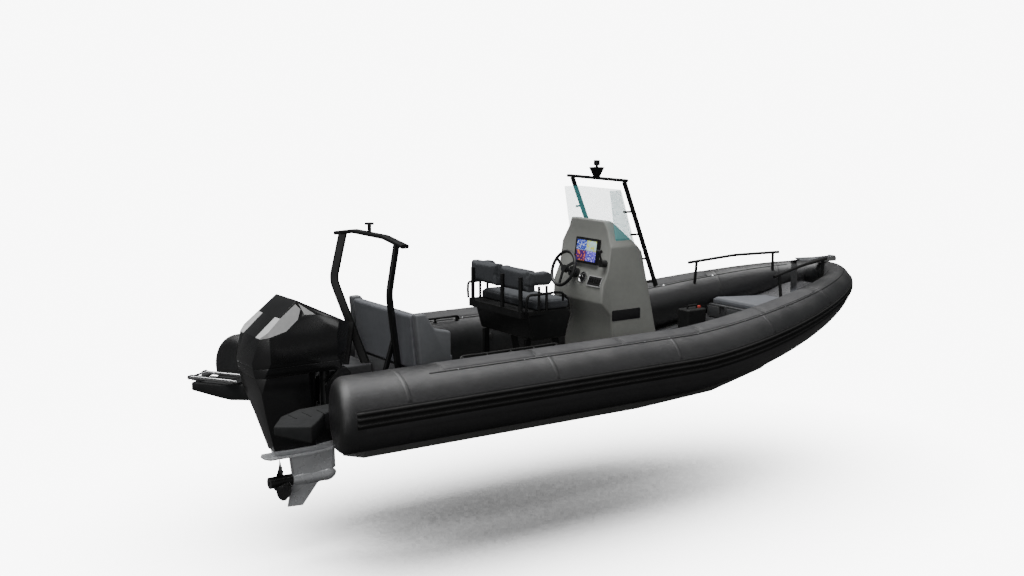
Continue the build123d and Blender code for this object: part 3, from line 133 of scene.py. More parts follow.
# One row per finish; a grey is one number. The relief, such as grain, gives a size and a depth in metres.
finishes = {
    "tube_skin": dict(
        base=(0.012, 0.012, 0.0126), tint=(0.018, 0.018, 0.0189), rough=(0.36, 0.46),
        weave=(0.0016, 0.00012), dust=0.3, shine=0.7,
    ),
    "strake_rubber": dict(base=0.006, tint=0.01, rough=(0.5, 0.65), grain=(0.004, 0.0002), shine=0.2),
    "tread_rubber": dict(
        base=(0.034, 0.034, 0.036), tint=(0.048, 0.048, 0.05), rough=(0.55, 0.7), studs=(0.009, 0.0009),
        dust=0.3,
    ),
    "hull_gelcoat": dict(
        base=(0.1, 0.1, 0.103), tint=(0.12, 0.12, 0.1236), rough=(0.2, 0.34), coat=0.5,
        grain=(0.03, 0.00012), waterMark=1,
    ),
    "deck_nonslip": dict(
        base=(0.062, 0.062, 0.061), tint=(0.08, 0.08, 0.078), rough=(0.5, 0.7), studs=(0.012, 0.0008),
        dust=0.3,
    ),
    "deck_moulding": dict(
        base=(0.06, 0.061, 0.063), tint=(0.074, 0.075, 0.077), rough=(0.28, 0.45), coat=0.25,
        grain=(0.006, 0.00012),
    ),
    "platform_moulding": dict(
        base=(0.02, 0.0204, 0.0208), tint=(0.027, 0.02754, 0.02808), rough=(0.7, 0.85),
        grain=(0.003, 0.00025), shine=0.08,
    ),
    "stainless": dict(
        base=0.7, tint=(0.58, 0.58, 0.59), rough=(0.12, 0.26), metal=1, brushed=(0.0015, 0.00004),
    ),
    "galvanised": dict(
        base=(0.42, 0.43, 0.44), tint=(0.3, 0.31, 0.32), rough=(0.35, 0.55), metal=1,
        grain=(0.006, 0.0001),
    ),
    "black_coated_tube": dict(
        base=0.007, tint=0.012, rough=(0.34, 0.5), grain=(0.0018, 0.00008), shine=0.25,
    ),
    "cushion_cover": dict(
        base=(0.105, 0.109, 0.12), tint=(0.125, 0.13, 0.142), rough=(0.46, 0.62),
        leather=(0.0045, 0.00018),
    ),
    "seat_cover": dict(
        base=(0.055, 0.058, 0.063), tint=(0.066, 0.069, 0.074), rough=(0.6, 0.75),
        leather=(0.0045, 0.00018), shine=0.15,
    ),
    "bench_shell": dict(
        base=(0.096, 0.1, 0.106), tint=(0.1152, 0.12, 0.1272), rough=(0.42, 0.56),
        grain=(0.005, 0.00015),
    ),
    "seat_shell": dict(base=0.01, tint=0.015, rough=(0.38, 0.52), grain=(0.003, 0.0001), shine=0.2),
    "console_gelcoat": dict(
        base=(0.24, 0.2448, 0.228), tint=(0.27, 0.2754, 0.2565), rough=(0.34, 0.48), coat=0.15,
        grain=(0.05, 0.0001),
    ),
    "screen_glass": dict(
        base=(0.2, 0.72, 0.74), tint=(0.24, 0.76, 0.78), rough=(0.02, 0.06), alpha=0.4,
        grain=(0.4, 0.00005),
    ),
    "wheel_grip": dict(base=0.007, tint=0.014, rough=(0.42, 0.58), leather=(0.003, 0.00012)),
    "black_moulding": dict(base=0.012, tint=0.018, rough=(0.35, 0.5), grain=(0.0015, 0.0001)),
    "display_screen": dict(
        base=(0.006, 0.006, 0.0065), tint=(0.01, 0.01, 0.011), rough=(0.3, 0.42), grain=(0.0015, 0.00005),
    ),
    "can_moulding": dict(base=0.012, tint=0.018, rough=(0.4, 0.56), grain=(0.002, 0.00015), shine=0.15),
    "engine_black": dict(
        base=(0.009, 0.009, 0.00936), tint=(0.013, 0.013, 0.01352), rough=(0.24, 0.38), coat=0.3,
        grain=(0.004, 0.00006),
    ),
    "cowl_black": dict(
        base=(0.007, 0.007, 0.00728), tint=(0.01, 0.01, 0.0104), rough=(0.2, 0.32), coat=0.45,
        grain=(0.05, 0.00006),
    ),
    "cowl_grey": dict(base=0.42, tint=0.52, rough=(0.36, 0.5), grain=(0.002, 0.0001)),
    "engine_silver": dict(
        base=(0.6, 0.61, 0.625), tint=(0.52, 0.53, 0.545), rough=(0.2, 0.34), metal=0.3, coat=0.3,
        grain=(0.004, 0.00008),
    ),
    "bare_casting": dict(base=0.3, tint=0.24, rough=(0.5, 0.7), metal=0.8, grain=(0.004, 0.0004)),
    "propeller_black": dict(base=0.006, tint=0.011, rough=(0.2, 0.34), coat=0.4, grain=(0.004, 0.00008)),
    "chrome_trim": dict(
        base=(0.8, 0.8, 0.81), tint=(0.66, 0.66, 0.67), rough=(0.06, 0.16), metal=1,
        grain=(0.01, 0.00002),
    ),
    "light_rim": dict(base=0.34, tint=0.44, rough=(0.25, 0.4), grain=(0.004, 0.00004)),
    "red_moulding": dict(
        base=(0.3, 0.02, 0.012), tint=(0.38, 0.035, 0.02), rough=(0.35, 0.5), grain=(0.002, 0.0001),
    ),
    "white_lens": dict(
        base=(0.72, 0.72, 0.7), tint=(0.64, 0.64, 0.62), rough=(0.12, 0.22), grain=(0.002, 0.0002),
    ),
    "chart_blue": dict(
        base=(0.012, 0.015, 0.28), tint=(0.06, 0.1, 0.55), rough=(0.15, 0.25), grain=(0.01, 0.00001),
        mark=(70, (0.55, 0.65, 0.9)), glow=0.5,
    ),
    "chart_pale": dict(
        base=(0.3, 0.5, 0.2), tint=(0.5, 0.7, 0.75), rough=(0.15, 0.25), grain=(0.01, 0.00001),
        mark=(40, (0.6, 0.65, 0.12)), glow=0.5,
    ),
    "chart_warm": dict(
        base=(0.02, 0.012, 0.2), tint=(0.1, 0.02, 0.1), rough=(0.15, 0.25), grain=(0.01, 0.00001),
        mark=(45, (0.8, 0.2, 0.03)), glow=0.5,
    ),
    "chart_violet": dict(
        base=(0.02, 0.015, 0.35), tint=(0.12, 0.09, 0.6), rough=(0.15, 0.25), grain=(0.01, 0.00001),
        mark=(60, (0.45, 0.4, 0.85)), glow=0.5,
    ),
    "seam_thread": dict(
        base=(0.05, 0.052, 0.056), tint=(0.075, 0.077, 0.08), rough=(0.6, 0.75), weave=(0.003, 0.0004),
    ),
}


def asColour(value):
    return value if hasattr(value, "__len__") else (value,) * 3


def heightOf(shade, settings):
    # The surface's fine relief and its depth.
    if "weave" in settings:
        size, depth = settings["weave"]
        x, y, z = [(axis * (2 * math.pi / size)).waved() for axis in shade.axes()]
        return x * z + y * z, depth
    if "studs" in settings:
        size, depth = settings["studs"]
        x, y, z = [(axis * (2 * math.pi / size)).waved() for axis in shade.axes()]
        return (x * y).stepped(0.1, 0.6), depth
    if "leather" in settings:
        size, depth = settings["leather"]
        return shade.cells(1 / size).stepped(0.0, 0.5) + shade.noise(0.4 / size) * 0.5, depth
    if "brushed" in settings:
        size, depth = settings["brushed"]
        return shade.noise(1 / size, 2.0, (0.08, 1, 1)), depth
    size, depth = settings["grain"]
    return shade.noise(1 / size, 4.0), depth


# How every finish varies: how large its patches are and what dust and water leave on it
wear = {
    "patch": 3.0,
    "fine": 24.0,
    "patchShare": 0.6,
    "dirt": 5.0,
    "dustColour": (0.11, 0.108, 0.104),
    "stainColour": (0.16, 0.16, 0.145),
    "stainShare": 0.3,
    "sheen": 9.0,
    "coatRough": 0.12,
}
madeFinishes = {}


def finish(name):
    # The material of a finish, made at its first use.
    if name in madeFinishes:
        return madeFinishes[name]
    settings = finishes[name]
    shade = Shade(name + "Finish")
    madeFinishes[name] = shade.material
    surface = shade.surface
    blotch = shade.noise(wear["patch"], 5.0).stepped(0.35, 0.65)
    fine = shade.noise(wear["fine"], 4.0).stepped(0.3, 0.7)
    blend = blotch * wear["patchShare"] + fine * (1 - wear["patchShare"])
    colour = shade.mixed(blend, asColour(settings["base"]), asColour(settings["tint"]))
    if "dust" in settings:
        share = shade.facingUp().stepped(0.3, 1.0) * shade.noise(wear["dirt"], 6.0).stepped(0.35, 0.8)
        colour = shade.mixed(share * settings["dust"], colour, wear["dustColour"])
    if "waterMark" in settings:
        height = shade.axes()[2]
        stain = (height + shade.noise(4.0, 5.0) * 0.05).stepped(0.02, -0.06)
        colour = shade.mixed(stain * wear["stainShare"], colour, wear["stainColour"])
    if "mark" in settings:
        scale, mark = settings["mark"]
        colour = shade.mixed(shade.noise(scale, 1.0).stepped(0.52, 0.62), colour, mark)
    if "glow" in settings:
        shade.feed(surface.inputs["Emission Color"], colour)
        surface.inputs["Emission Strength"].default_value = settings["glow"]
    shade.feed(surface.inputs["Base Color"], colour)
    low, high = settings["rough"]
    shade.feed(surface.inputs["Roughness"], shade.noise(wear["sheen"], 5.0) * (high - low) + low)
    surface.inputs["Metallic"].default_value = settings.get("metal", 0)
    surface.inputs["Coat Weight"].default_value = settings.get("coat", 0)
    surface.inputs["Coat Roughness"].default_value = wear["coatRough"]
    surface.inputs["Alpha"].default_value = settings.get("alpha", 1)
    surface.inputs["Specular IOR Level"].default_value = settings.get("shine", 0.5)
    height, depth = heightOf(shade, settings)
    shade.bumped(height, depth)
    return shade.material


# Mesh tools


def linked(name, data):
    # A new object that holds the data, in the scene.
    obj = bpy.data.objects.new(name, data)
    bpy.context.collection.objects.link(obj)
    return obj


class Pile:
    # Loose shapes gathered into one mesh.
    def __init__(self):
        self.points = []
        self.faces = []

    def add(self, points, faces):
        start = len(self.points)
        self.points.extend([tuple(float(v) for v in p) for p in points])
        self.faces.extend([[start + i for i in face] for face in faces])
        return self

    def taken(self, shape):
        # Everything in a bmesh, which goes.
        shape.verts.index_update()
        points = [v.co.copy() for v in shape.verts]
        faces = [[v.index for v in f.verts] for f in shape.faces]
        shape.free()
        return self.add(points, faces)

    def grid(self, rows, closed=False, capped=False, flipped=False):
        rows = np.asarray(rows, float)
        count, around = rows.shape[:2]
        faces = []
        span = around if closed else around - 1
        for i in range(count - 1):
            for j in range(span):
                k = (j + 1) % around
                low, high = i * around, (i + 1) * around
                faces.append([low + j, low + k, high + k, high + j])
        if capped:
            faces.append(list(range(around))[::-1])
            faces.append([(count - 1) * around + j for j in range(around)])
        if flipped:
            faces = [face[::-1] for face in faces]
        return self.add(rows.reshape(-1, 3), faces)

    def tube(self, path, radius, sides=12, closed=False):
        path = np.asarray(path, float)
        ahead = np.roll(path, -1, 0) - np.roll(path, 1, 0)
        if not closed:
            ahead[0] = path[1] - path[0]
            ahead[-1] = path[-1] - path[-2]
        ahead /= np.linalg.norm(ahead, axis=1)[:, None]
        side = np.cross(ahead[0], (0, 0, 1) if abs(ahead[0][2]) < 0.9 else (1, 0, 0))
        sizes = np.broadcast_to(np.asarray(radius, float), (len(path),))
        turns = np.linspace(0, 2 * math.pi, sides, endpoint=False)
        rows = []
        for point, way, size in zip(path, ahead, sizes):
            side = side - way * np.dot(side, way)
            side /= np.linalg.norm(side)
            up = np.cross(way, side)
            ring = np.cos(turns)[:, None] * side + np.sin(turns)[:, None] * up
            rows.append(point + ring * size)
        if closed:
            rows.append(rows[0])
        return self.grid(rows, closed=True, capped=not closed)

    def lathe(self, origin, axis, profile, sides=32):
        # Profile points are (distance along the axis, radius).
        origin, axis = Vector(origin), Vector(axis).normalized()
        side = axis.orthogonal().normalized()
        up = axis.cross(side)
        rows = []
        for along, size in profile:
            middle = origin + axis * along
            ring = []
            for k in range(sides):
                turn = 2 * math.pi * k / sides
                ring.append(middle + (side * math.cos(turn) + up * math.sin(turn)) * max(size, 1e-5))
            rows.append(ring)
        return self.grid(rows, closed=True, capped=True)

    def box(self, centre, size, bevel=0.0, axes=None):
        shape = bmesh.new()
        bmesh.ops.create_cube(shape, size=1.0)
        for vertex in shape.verts:
            vertex.co = Vector(c * s for c, s in zip(vertex.co, size))
        if bevel:
            rim = shape.edges[:]
            bmesh.ops.bevel(shape, geom=rim, offset=bevel, segments=2, profile=0.6, affect="EDGES")
        axes = [Vector(a) for a in axes or ((1, 0, 0), (0, 1, 0), (0, 0, 1))]
        for vertex in shape.verts:
            x, y, z = vertex.co
            vertex.co = Vector(centre) + axes[0] * x + axes[1] * y + axes[2] * z
        return self.taken(shape)

    def plate(self, outline, origin, across, up, depth, bevel=0.0):
        # A flat outline in its own plane, thickened along the plane's normal.
        across, up, origin = Vector(across), Vector(up), Vector(origin)
        out = across.cross(up).normalized()
        shape = bmesh.new()
        base = [shape.verts.new(origin + across * a + up * b) for a, b in outline]
        face = shape.faces.new(base)
        grown = bmesh.ops.extrude_face_region(shape, geom=[face])
        top = [v for v in grown["geom"] if isinstance(v, bmesh.types.BMVert)]
        bmesh.ops.translate(shape, verts=top, vec=out * depth)
        bmesh.ops.recalc_face_normals(shape, faces=shape.faces[:])
        if bevel:
            rim = shape.edges[:]
            bmesh.ops.bevel(shape, geom=rim, offset=bevel, segments=2, profile=0.6, affect="EDGES")
        return self.taken(shape)

    def mesh(self, name):
        mesh = bpy.data.meshes.new(name)
        mesh.from_pydata(self.points, [], self.faces)
        mesh.update()
        return mesh


def shown(name, mesh, look, body="boat", replaced=(), sharp=35):
    # Puts a mesh, or a pile of shapes, in the scene as a piece of the boat.
    if isinstance(mesh, Pile):
        mesh = mesh.mesh(name)
    shape = bmesh.new()
    shape.from_mesh(mesh)
    bmesh.ops.recalc_face_normals(shape, faces=shape.faces[:])
    shape.to_mesh(mesh)
    shape.free()
    mesh.shade_smooth()
    mesh.set_sharp_from_angle(angle=math.radians(sharp))
    mesh.materials.clear()
    mesh.materials.append(finish(look))
    obj = linked(name, mesh)
    if replaced:
        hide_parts(*replaced)
    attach(obj, body)
    return obj


def smoothPath(points, steps=8):
    # A smooth curve through the points.
    points = [Vector(p) for p in points]
    padded = [points[0] * 2 - points[1], *points, points[-1] * 2 - points[-2]]
    path = []
    for a, b, c, d in zip(padded, padded[1:], padded[2:], padded[3:]):
        for k in range(steps):
            t = k / steps
            square = (2 * a - 5 * b + 4 * c - d) * t * t
            path.append(0.5 * (2 * b + (c - a) * t + square + (3 * b - a - 3 * c + d) * t**3))
    path.append(points[-1])
    return [tuple(p) for p in path]


def softNormals(mesh, degrees):
    # Smooths the shading of a CAD mesh across its loose triangles, without moving a point.
    count = len(mesh.loops)
    corner = np.empty(count, np.int64)
    mesh.loops.foreach_get("vertex_index", corner)
    places = np.empty(len(mesh.vertices) * 3)
    mesh.vertices.foreach_get("co", places)
    places = places.reshape(-1, 3)[corner]
    triangles = places.reshape(-1, 3, 3)
    normals = np.cross(triangles[:, 1] - triangles[:, 0], triangles[:, 2] - triangles[:, 0])
    sizes = np.linalg.norm(normals, axis=1)
    units = np.repeat(normals / np.maximum(sizes, 1e-12)[:, None], 3, 0)
    weights = np.repeat(np.sqrt(sizes), 3)
    _, group = np.unique(np.round(places * 2e4).astype(np.int64), axis=0, return_inverse=True)
    order = np.argsort(group.ravel(), kind="stable")
    _, starts, totals = np.unique(group.ravel()[order], return_index=True, return_counts=True)
    limit = math.cos(math.radians(degrees))
    result = units.copy()
    for total in np.unique(totals):
        picked = order[starts[totals == total][:, None] + np.arange(total)]
        near = units[picked]
        close = np.einsum("gic,gjc->gij", near, near) > limit
        result[picked] = np.einsum("gij,gj,gjc->gic", close, weights[picked], near)
    result /= np.maximum(np.linalg.norm(result, axis=1), 1e-12)[:, None]
    mesh.shade_smooth()
    mesh.normals_split_custom_set(result.tolist())


def asMesh(helper):
    # The helper's finished shape as a mesh of its own. The helper goes.
    evaluated = helper.evaluated_get(bpy.context.evaluated_depsgraph_get())
    mesh = bpy.data.meshes.new_from_object(evaluated)
    bpy.data.objects.remove(helper)
    return mesh


merging = 2e-5
rounding = {"flat": 1.5, "segments": 3, "angle": 24, "sharp": 28}


def rounded(node, width):
    # A copy of a CAD node with soft edges, shown in its place.
    source = frame["nodes"][node]
    shape = bmesh.new()
    shape.from_mesh(source.data)
    bmesh.ops.remove_doubles(shape, verts=shape.verts[:], dist=merging)
    edges = [e for e in shape.edges if e.is_manifold]
    flat = math.radians(rounding["flat"])
    bmesh.ops.dissolve_limit(shape, angle_limit=flat, verts=shape.verts[:], edges=edges)
    mesh = bpy.data.meshes.new(node + "Soft")
    shape.to_mesh(mesh)
    shape.free()
    helper = linked(node + "Helper", mesh)
    bevel = helper.modifiers.new("edge", "BEVEL")
    bevel.width = width
    bevel.segments = rounding["segments"]
    bevel.limit_method = "ANGLE"
    bevel.angle_limit = math.radians(rounding["angle"])
    bevel.use_clamp_overlap = True
    bevel.miter_outer = "MITER_ARC"
    bpy.context.view_layer.update()
    baked = asMesh(helper)
    sharp = rounding["sharp"]
    return shown(node + "Soft", baked, slotOf[node], body=bodyOf[node], replaced=(node,), sharp=sharp)


slotOf = {entry["node"]: entry["material_slot"] for entry in frame["record"]["subparts"]}
bodyOf = {n: b for b, names in frame["record"]["behaviour"]["bodies"].items() for n in names}

# CAD nodes first: each takes its slot's finish
for node, obj in frame["nodes"].items():
    obj.data.materials.clear()
    obj.data.materials.append(finish(slotOf[node]))
    softNormals(obj.data, 30)
print("stage: CAD nodes finished")

softEdges = {
    "hull": 0.006,
    "transom": 0.012,
    "platform_port": 0.014,
    "platform_starboard": 0.014,
    "bench_base": 0.014,
    "bench_wings": 0.02,
    "helm_pod": 0.022,
    "console": 0.018,
    "cowl_upper": 0.012,
    "cowl_lower": 0.006,
    "midsection": 0.01,
    "clamp_bracket": 0.004,
    "bow_locker": 0.004,
    "bow_lid": 0.004,
}
for node, width in softEdges.items():
    rounded(node, width)
print("stage: soft edges made")

# The buoyancy tubes' centreline: a straight run, then a rising quarter ellipse to the bow
tube = {
    "radius": 0.289,
    "spacing": 0.98,
    "height": 0.28,
    "aft": -0.3725,
    "slant": 0.165,
    "slantFade": 0.5,
    "turnStart": 2.73,
    "reach": 3.19,
    "rise": 0.433,
    "riseStart": 0.26,
    "risePower": 1.42,
    "noseRadius": 0.128,
    "taperPower": 2.26,
    "endRound": 0.09,
    "straightCount": 300,
    "turnCount": 700,
}


def tubeTable():
    # Runs along a tube with its centres, radii and headings there.
    count = tube["straightCount"]
    straight = np.linspace(tube["aft"], tube["turnStart"], count, endpoint=False)
    turn = np.radians(np.linspace(0, 90, tube["turnCount"]))
    along = tube["reach"] * np.sin(turn)
    climb = np.maximum(along - tube["riseStart"], 0) / (tube["reach"] - tube["riseStart"])
    height = tube["height"] + tube["rise"] * climb ** tube["risePower"]
    bow = np.stack([tube["turnStart"] + along, tube["spacing"] * np.cos(turn), height], -1)
    aft = np.stack([straight, np.full(count, tube["spacing"]), np.full(count, tube["height"])], -1)
    taper = (along / tube["reach"]) ** tube["taperPower"]
    bowSizes = tube["radius"] - (tube["radius"] - tube["noseRadius"]) * taper
    sizes = np.concatenate([np.full(count, tube["radius"]), bowSizes])
    centres = np.concatenate([aft, bow])
    runs = np.concatenate([[0], np.cumsum(np.linalg.norm(np.diff(centres, axis=0), axis=1))])
    ways = np.gradient(centres, runs, axis=0)
    ways[-1] = (0, -1, 0)
    return runs, centres, sizes, ways


tubeRuns, tubeCentres, tubeSizes, tubeWays = tubeTable()
tubeLength = tubeRuns[-1]


def runAt(x):
    # Run along the tube at which its centreline reaches x.
    return float(np.interp(x, tubeCentres[:, 0], tubeRuns))


def wrapped(side, runs, angles, lifts):
    # Points on a tube: a run, an angle from straight up with inboard positive, a lift off the skin.
    runs, angles, lifts = np.broadcast_arrays(runs, np.radians(angles), lifts)
    centre = np.stack([np.interp(runs, tubeRuns, tubeCentres[:, k]) for k in range(3)], -1)
    way = np.stack([np.interp(runs, tubeRuns, tubeWays[:, k]) for k in range(3)], -1)
    way /= np.linalg.norm(way, axis=-1)[..., None]
    size = np.interp(runs, tubeRuns, tubeSizes) + lifts
    up = np.array([0, 0, 1.0]) - way * way[..., 2:]
    up /= np.linalg.norm(up, axis=-1)[..., None]
    inboard = np.cross(up, way) * -1
    way = np.cos(angles)[..., None] * up + np.sin(angles)[..., None] * inboard
    points = centre + size[..., None] * way
    fade = np.clip(1 - (centre[..., 0] - tube["aft"]) / tube["slantFade"], 0, 1)
    outboard = (points[..., 1] - tube["spacing"]) / tube["radius"]
    points[..., 0] -= tube["slant"] / 2 * outboard * fade
    points[..., 1] *= side
    return points


def sideName(side):
    return "Port" if side > 0 else "Starboard"


skin = {"around": 64, "straightStep": 0.12, "bowStep": 0.045, "endSteps": 9, "start": 0.03}
for side in (1, -1):
    endRound = tube["endRound"]
    angles = np.linspace(-180, 180, skin["around"], endpoint=False)
    rows = []
    for turn in np.radians(np.linspace(0, 90, skin["endSteps"])):
        lift = -endRound * (1 - math.sin(turn))
        rows.append(wrapped(side, endRound * (1 - math.cos(turn)), angles, lift))
    bend = runAt(tube["turnStart"])
    straight = np.arange(endRound + skin["start"], bend, skin["straightStep"])
    bow = np.arange(bend, tubeLength, skin["bowStep"])
    for run in [*straight, *bow, tubeLength]:
        rows.append(wrapped(side, run, angles, 0.0))
    pile = Pile().grid(rows, closed=True, capped=True, flipped=side < 0)
    name = "tube" + sideName(side)
    ending = sideName(side).lower()
    chambers = [n for n in frame["nodes"] if n.startswith("tube_") and n.endswith(ending)]
    shown(name + "Skin", pile, "tube_skin", replaced=chambers, sharp=50)


patches = {"step": 0.05, "turn": 6, "sunk": -0.001}


def patch(pile, side, runs, angles, lift, edge=0.004, columns=None):
    # A thin piece that follows the skin, its edges taken down into it.
    first, last = runs
    low, high = angles
    steps = max(2, int((last - first) / patches["step"]))
    inner = np.linspace(first + edge, last - edge, steps + 1)
    runList = [first, *inner, last]
    degrees = math.degrees(edge / tube["radius"])
    turns = columns or max(2, int((high - low) / patches["turn"]))
    angleList = [low, *np.linspace(low + degrees, high - degrees, turns + 1), high]
    lifts = np.full((len(runList), len(angleList)), lift)
    lifts[0, :] = lifts[-1, :] = patches["sunk"]
    lifts[:, 0] = lifts[:, -1] = patches["sunk"]
    rows = wrapped(side, np.array(runList)[:, None], np.array(angleList)[None, :], lifts)
    pile.grid(rows, flipped=side < 0)


# Seam tapes across and along the skin, and trim lines on it
seams = {
    "places": (0.1, 1.45, 2.75, 3.95, 4.95, 5.6),
    "width": 0.04,
    "lift": 0.0012,
    "angles": ((-180, -100), (-71, 180)),
    "lengthwise": (-112, -100),
    "from": -0.2,
}
trims = {
    "angles": ((-29, -26.5), (33.5, 36)),
    "lift": 0.0032,
    "from": 0.36,
    "to": 5.72,
    "edge": 0.0015,
}
for side in (1, -1):
    pile = Pile()
    for x in seams["places"]:
        start = runAt(x)
        for angles in seams["angles"]:
            patch(pile, side, (start, start + seams["width"]), angles, seams["lift"])
    patch(pile, side, (runAt(seams["from"]), tubeLength), seams["lengthwise"], seams["lift"])
    shown("seams" + sideName(side), pile, "tube_skin", sharp=50)
    pile = Pile()
    runs = runAt(trims["from"]), runAt(trims["to"])
    for angles in trims["angles"]:
        patch(pile, side, runs, angles, trims["lift"], trims["edge"], 2)
    shown("trimLines" + sideName(side), pile, "strake_rubber", sharp=50)

# Rub strakes with rounded ridges
# Angles are degrees above the outboard side
strake = {
    "low": -9,
    "high": 18,
    "edge": 0.3,
    "edgeLift": 0.0003,
    "base": 0.0055,
    "top": 0.0152,
    "ridges": (-4, 5, 13),
    "ridge": ((-2.6, 0), (-1.9, 0.55), (-1.3, 0.93), (0, 1), (1.3, 0.93), (1.9, 0.55), (2.6, 0)),
    "from": -0.262,
    "endTaper": 0.012,
    "straight": (0.06, 2.6, 0.1),
    "bow": (2.7, 0.05),
}
for side in (1, -1):
    low, high, base = strake["low"], strake["high"], strake["base"]
    profile = [(low, strake["edgeLift"]), (low + strake["edge"], base)]
    for ridge in strake["ridges"]:
        for offset, share in strake["ridge"]:
            profile.append((ridge + offset, base + share * (strake["top"] - base)))
    profile += [(high - strake["edge"], base), (high, strake["edgeLift"])]
    angles = np.array([p[0] for p in profile]) - 90
    lifts = np.array([p[1] for p in profile])
    start, taper = runAt(strake["from"]), strake["endTaper"]
    first, last, step = strake["straight"]
    straight = np.arange(start + first, runAt(last), step)
    bend, step = strake["bow"]
    runs = [start, start + taper, *straight, *np.arange(runAt(bend), tubeLength, step), tubeLength]
    rows = []
    for run in runs:
        share = min(1, (run - start) / taper)
        rows.append(wrapped(side, run, angles, lifts * share))
    pile = Pile().grid(rows, flipped=side < 0)
    name = "strake" + sideName(side) + "Soft"
    node = "strake_" + sideName(side).lower()
    shown(name, pile, "strake_rubber", replaced=(node,), sharp=60)

# Anti-slip pads on the tube tops
pads = {
    "from": 0.5,
    "to": 4.9,
    "angles": (-24, 31),
    "lift": 0.0035,
    "gap": 0.03,
    "count": 5,
    "edge": 0.003,
}
for side in (1, -1):
    pile = Pile()
    edges = np.linspace(runAt(pads["from"]), runAt(pads["to"]), pads["count"] + 1)
    for first, last in zip(edges, edges[1:]):
        patch(pile, side, (first, last - pads["gap"]), pads["angles"], pads["lift"], pads["edge"])
    node = "tread_" + sideName(side).lower()
    shown("pads" + sideName(side), pile, "tread_rubber", replaced=(node,), sharp=60)
print("stage: tubes made")

# Geometry Nodes trees, for what repeats or follows a path


class Growth:
    # One tree with named number inputs besides its geometry.
    def __init__(self, name, numbers):
        self.tree = bpy.data.node_groups.new(name, "GeometryNodeTree")
        face = self.tree.interface
        face.new_socket("Geometry", in_out="INPUT", socket_type="NodeSocketGeometry")
        for key in numbers:
            face.new_socket(key, in_out="INPUT", socket_type="NodeSocketFloat")
        face.new_socket("Geometry", in_out="OUTPUT", socket_type="NodeSocketGeometry")
        self.given = self.tree.nodes.new("NodeGroupInput").outputs
        self.sockets = {item.name: item.identifier for item in face.items_tree if item.in_out == "INPUT"}

    def node(self, kind, values, output=0, **properties):
        made = self.tree.nodes.new(kind)
        for key, value in properties.items():
            setattr(made, key, value)
        for key, value in values.items():
            if isinstance(value, bpy.types.NodeSocket):
                self.tree.links.new(value, made.inputs[key])
            else:
                made.inputs[key].default_value = value
        return made.outputs[output]

    def done(self, geometry, look):
        solid = self.node("GeometryNodeRealizeInstances", {"Geometry": geometry})
        painted = self.node("GeometryNodeSetMaterial", {"Geometry": solid, "Material": finish(look)})
        end = self.tree.nodes.new("NodeGroupOutput")
        self.tree.links.new(painted, end.inputs["Geometry"])

    def grown(self, mesh, numbers):
        helper = linked("growth", mesh)
        modifier = helper.modifiers.new("growth", "NODES")
        modifier.node_group = self.tree
        for key, value in numbers.items():
            modifier[self.sockets[key]] = value
        bpy.context.view_layer.update()
        return asMesh(helper)


bolt = {"washerSides": 14, "headShare": 0.66, "headHeight": 3.0, "washerHeight": 0.35}


def boltTree(look, corners):
    # A washer and a head on every point, facing the point's own way.
    growth = Growth("bolts" + look, ["Radius", "Height"])
    radius, height = growth.given["Radius"], growth.given["Height"]
    small = growth.node("ShaderNodeMath", {0: radius, 1: bolt["headShare"]}, operation="MULTIPLY")
    tall = growth.node("ShaderNodeMath", {0: height, 1: bolt["headHeight"]}, operation="MULTIPLY")
    values = {"Vertices": bolt["washerSides"], "Radius": radius, "Depth": height}
    washer = growth.node("GeometryNodeMeshCylinder", values)
    values = {"Vertices": corners, "Radius": small, "Depth": tall}
    head = growth.node("GeometryNodeMeshCylinder", values)
    joined = growth.tree.nodes.new("GeometryNodeJoinGeometry")
    growth.tree.links.new(washer, joined.inputs[0])
    growth.tree.links.new(head, joined.inputs[0])
    way = growth.node("GeometryNodeInputNamedAttribute", {"Name": "way"}, data_type="FLOAT_VECTOR")
    turned = growth.node("FunctionNodeAlignRotationToVector", {"Vector": way}, axis="Z")
    values = {"Points": growth.given["Geometry"], "Instance": joined.outputs[0], "Rotation": turned}
    growth.done(growth.node("GeometryNodeInstanceOnPoints", values), look)
    return growth


def stitchTree(look):
    # Short threads at even steps along a path of edges.
    growth = Growth("stitches" + look, ["Step", "Length", "Radius"])
    line = growth.node("GeometryNodeMeshToCurve", {"Mesh": growth.given["Geometry"]})
    values = {"Curve": line, "Length": growth.given["Step"]}
    steps = growth.node("GeometryNodeResampleCurve", values, mode="LENGTH")
    thread = growth.node("GeometryNodeMeshUVSphere", {"Segments": 6, "Rings": 4, "Radius": 1.0})
    way = growth.node("GeometryNodeInputTangent", {})
    turned = growth.node("FunctionNodeAlignRotationToVector", {"Vector": way}, axis="X")
    half = growth.node("ShaderNodeMath", {0: growth.given["Length"], 1: 0.5}, operation="MULTIPLY")
    thick = growth.given["Radius"]
    size = growth.node("ShaderNodeCombineXYZ", {"X": half, "Y": thick, "Z": thick})
    values = {"Points": steps, "Instance": thread, "Rotation": turned, "Scale": size}
    growth.done(growth.node("GeometryNodeInstanceOnPoints", values), look)
    return growth


def pipingTree(look):
    # A round cord along a path of edges.
    growth = Growth("piping" + look, ["Step", "Radius"])
    line = growth.node("GeometryNodeMeshToCurve", {"Mesh": growth.given["Geometry"]})
    values = {"Curve": line, "Length": growth.given["Step"]}
    steps = growth.node("GeometryNodeResampleCurve", values, mode="LENGTH")
    values = {"Resolution": 8, "Radius": growth.given["Radius"]}
    ring = growth.node("GeometryNodeCurvePrimitiveCircle", values)
    values = {"Curve": steps, "Profile Curve": ring}
    growth.done(growth.node("GeometryNodeCurveToMesh", values), look)
    return growth


trees = {}


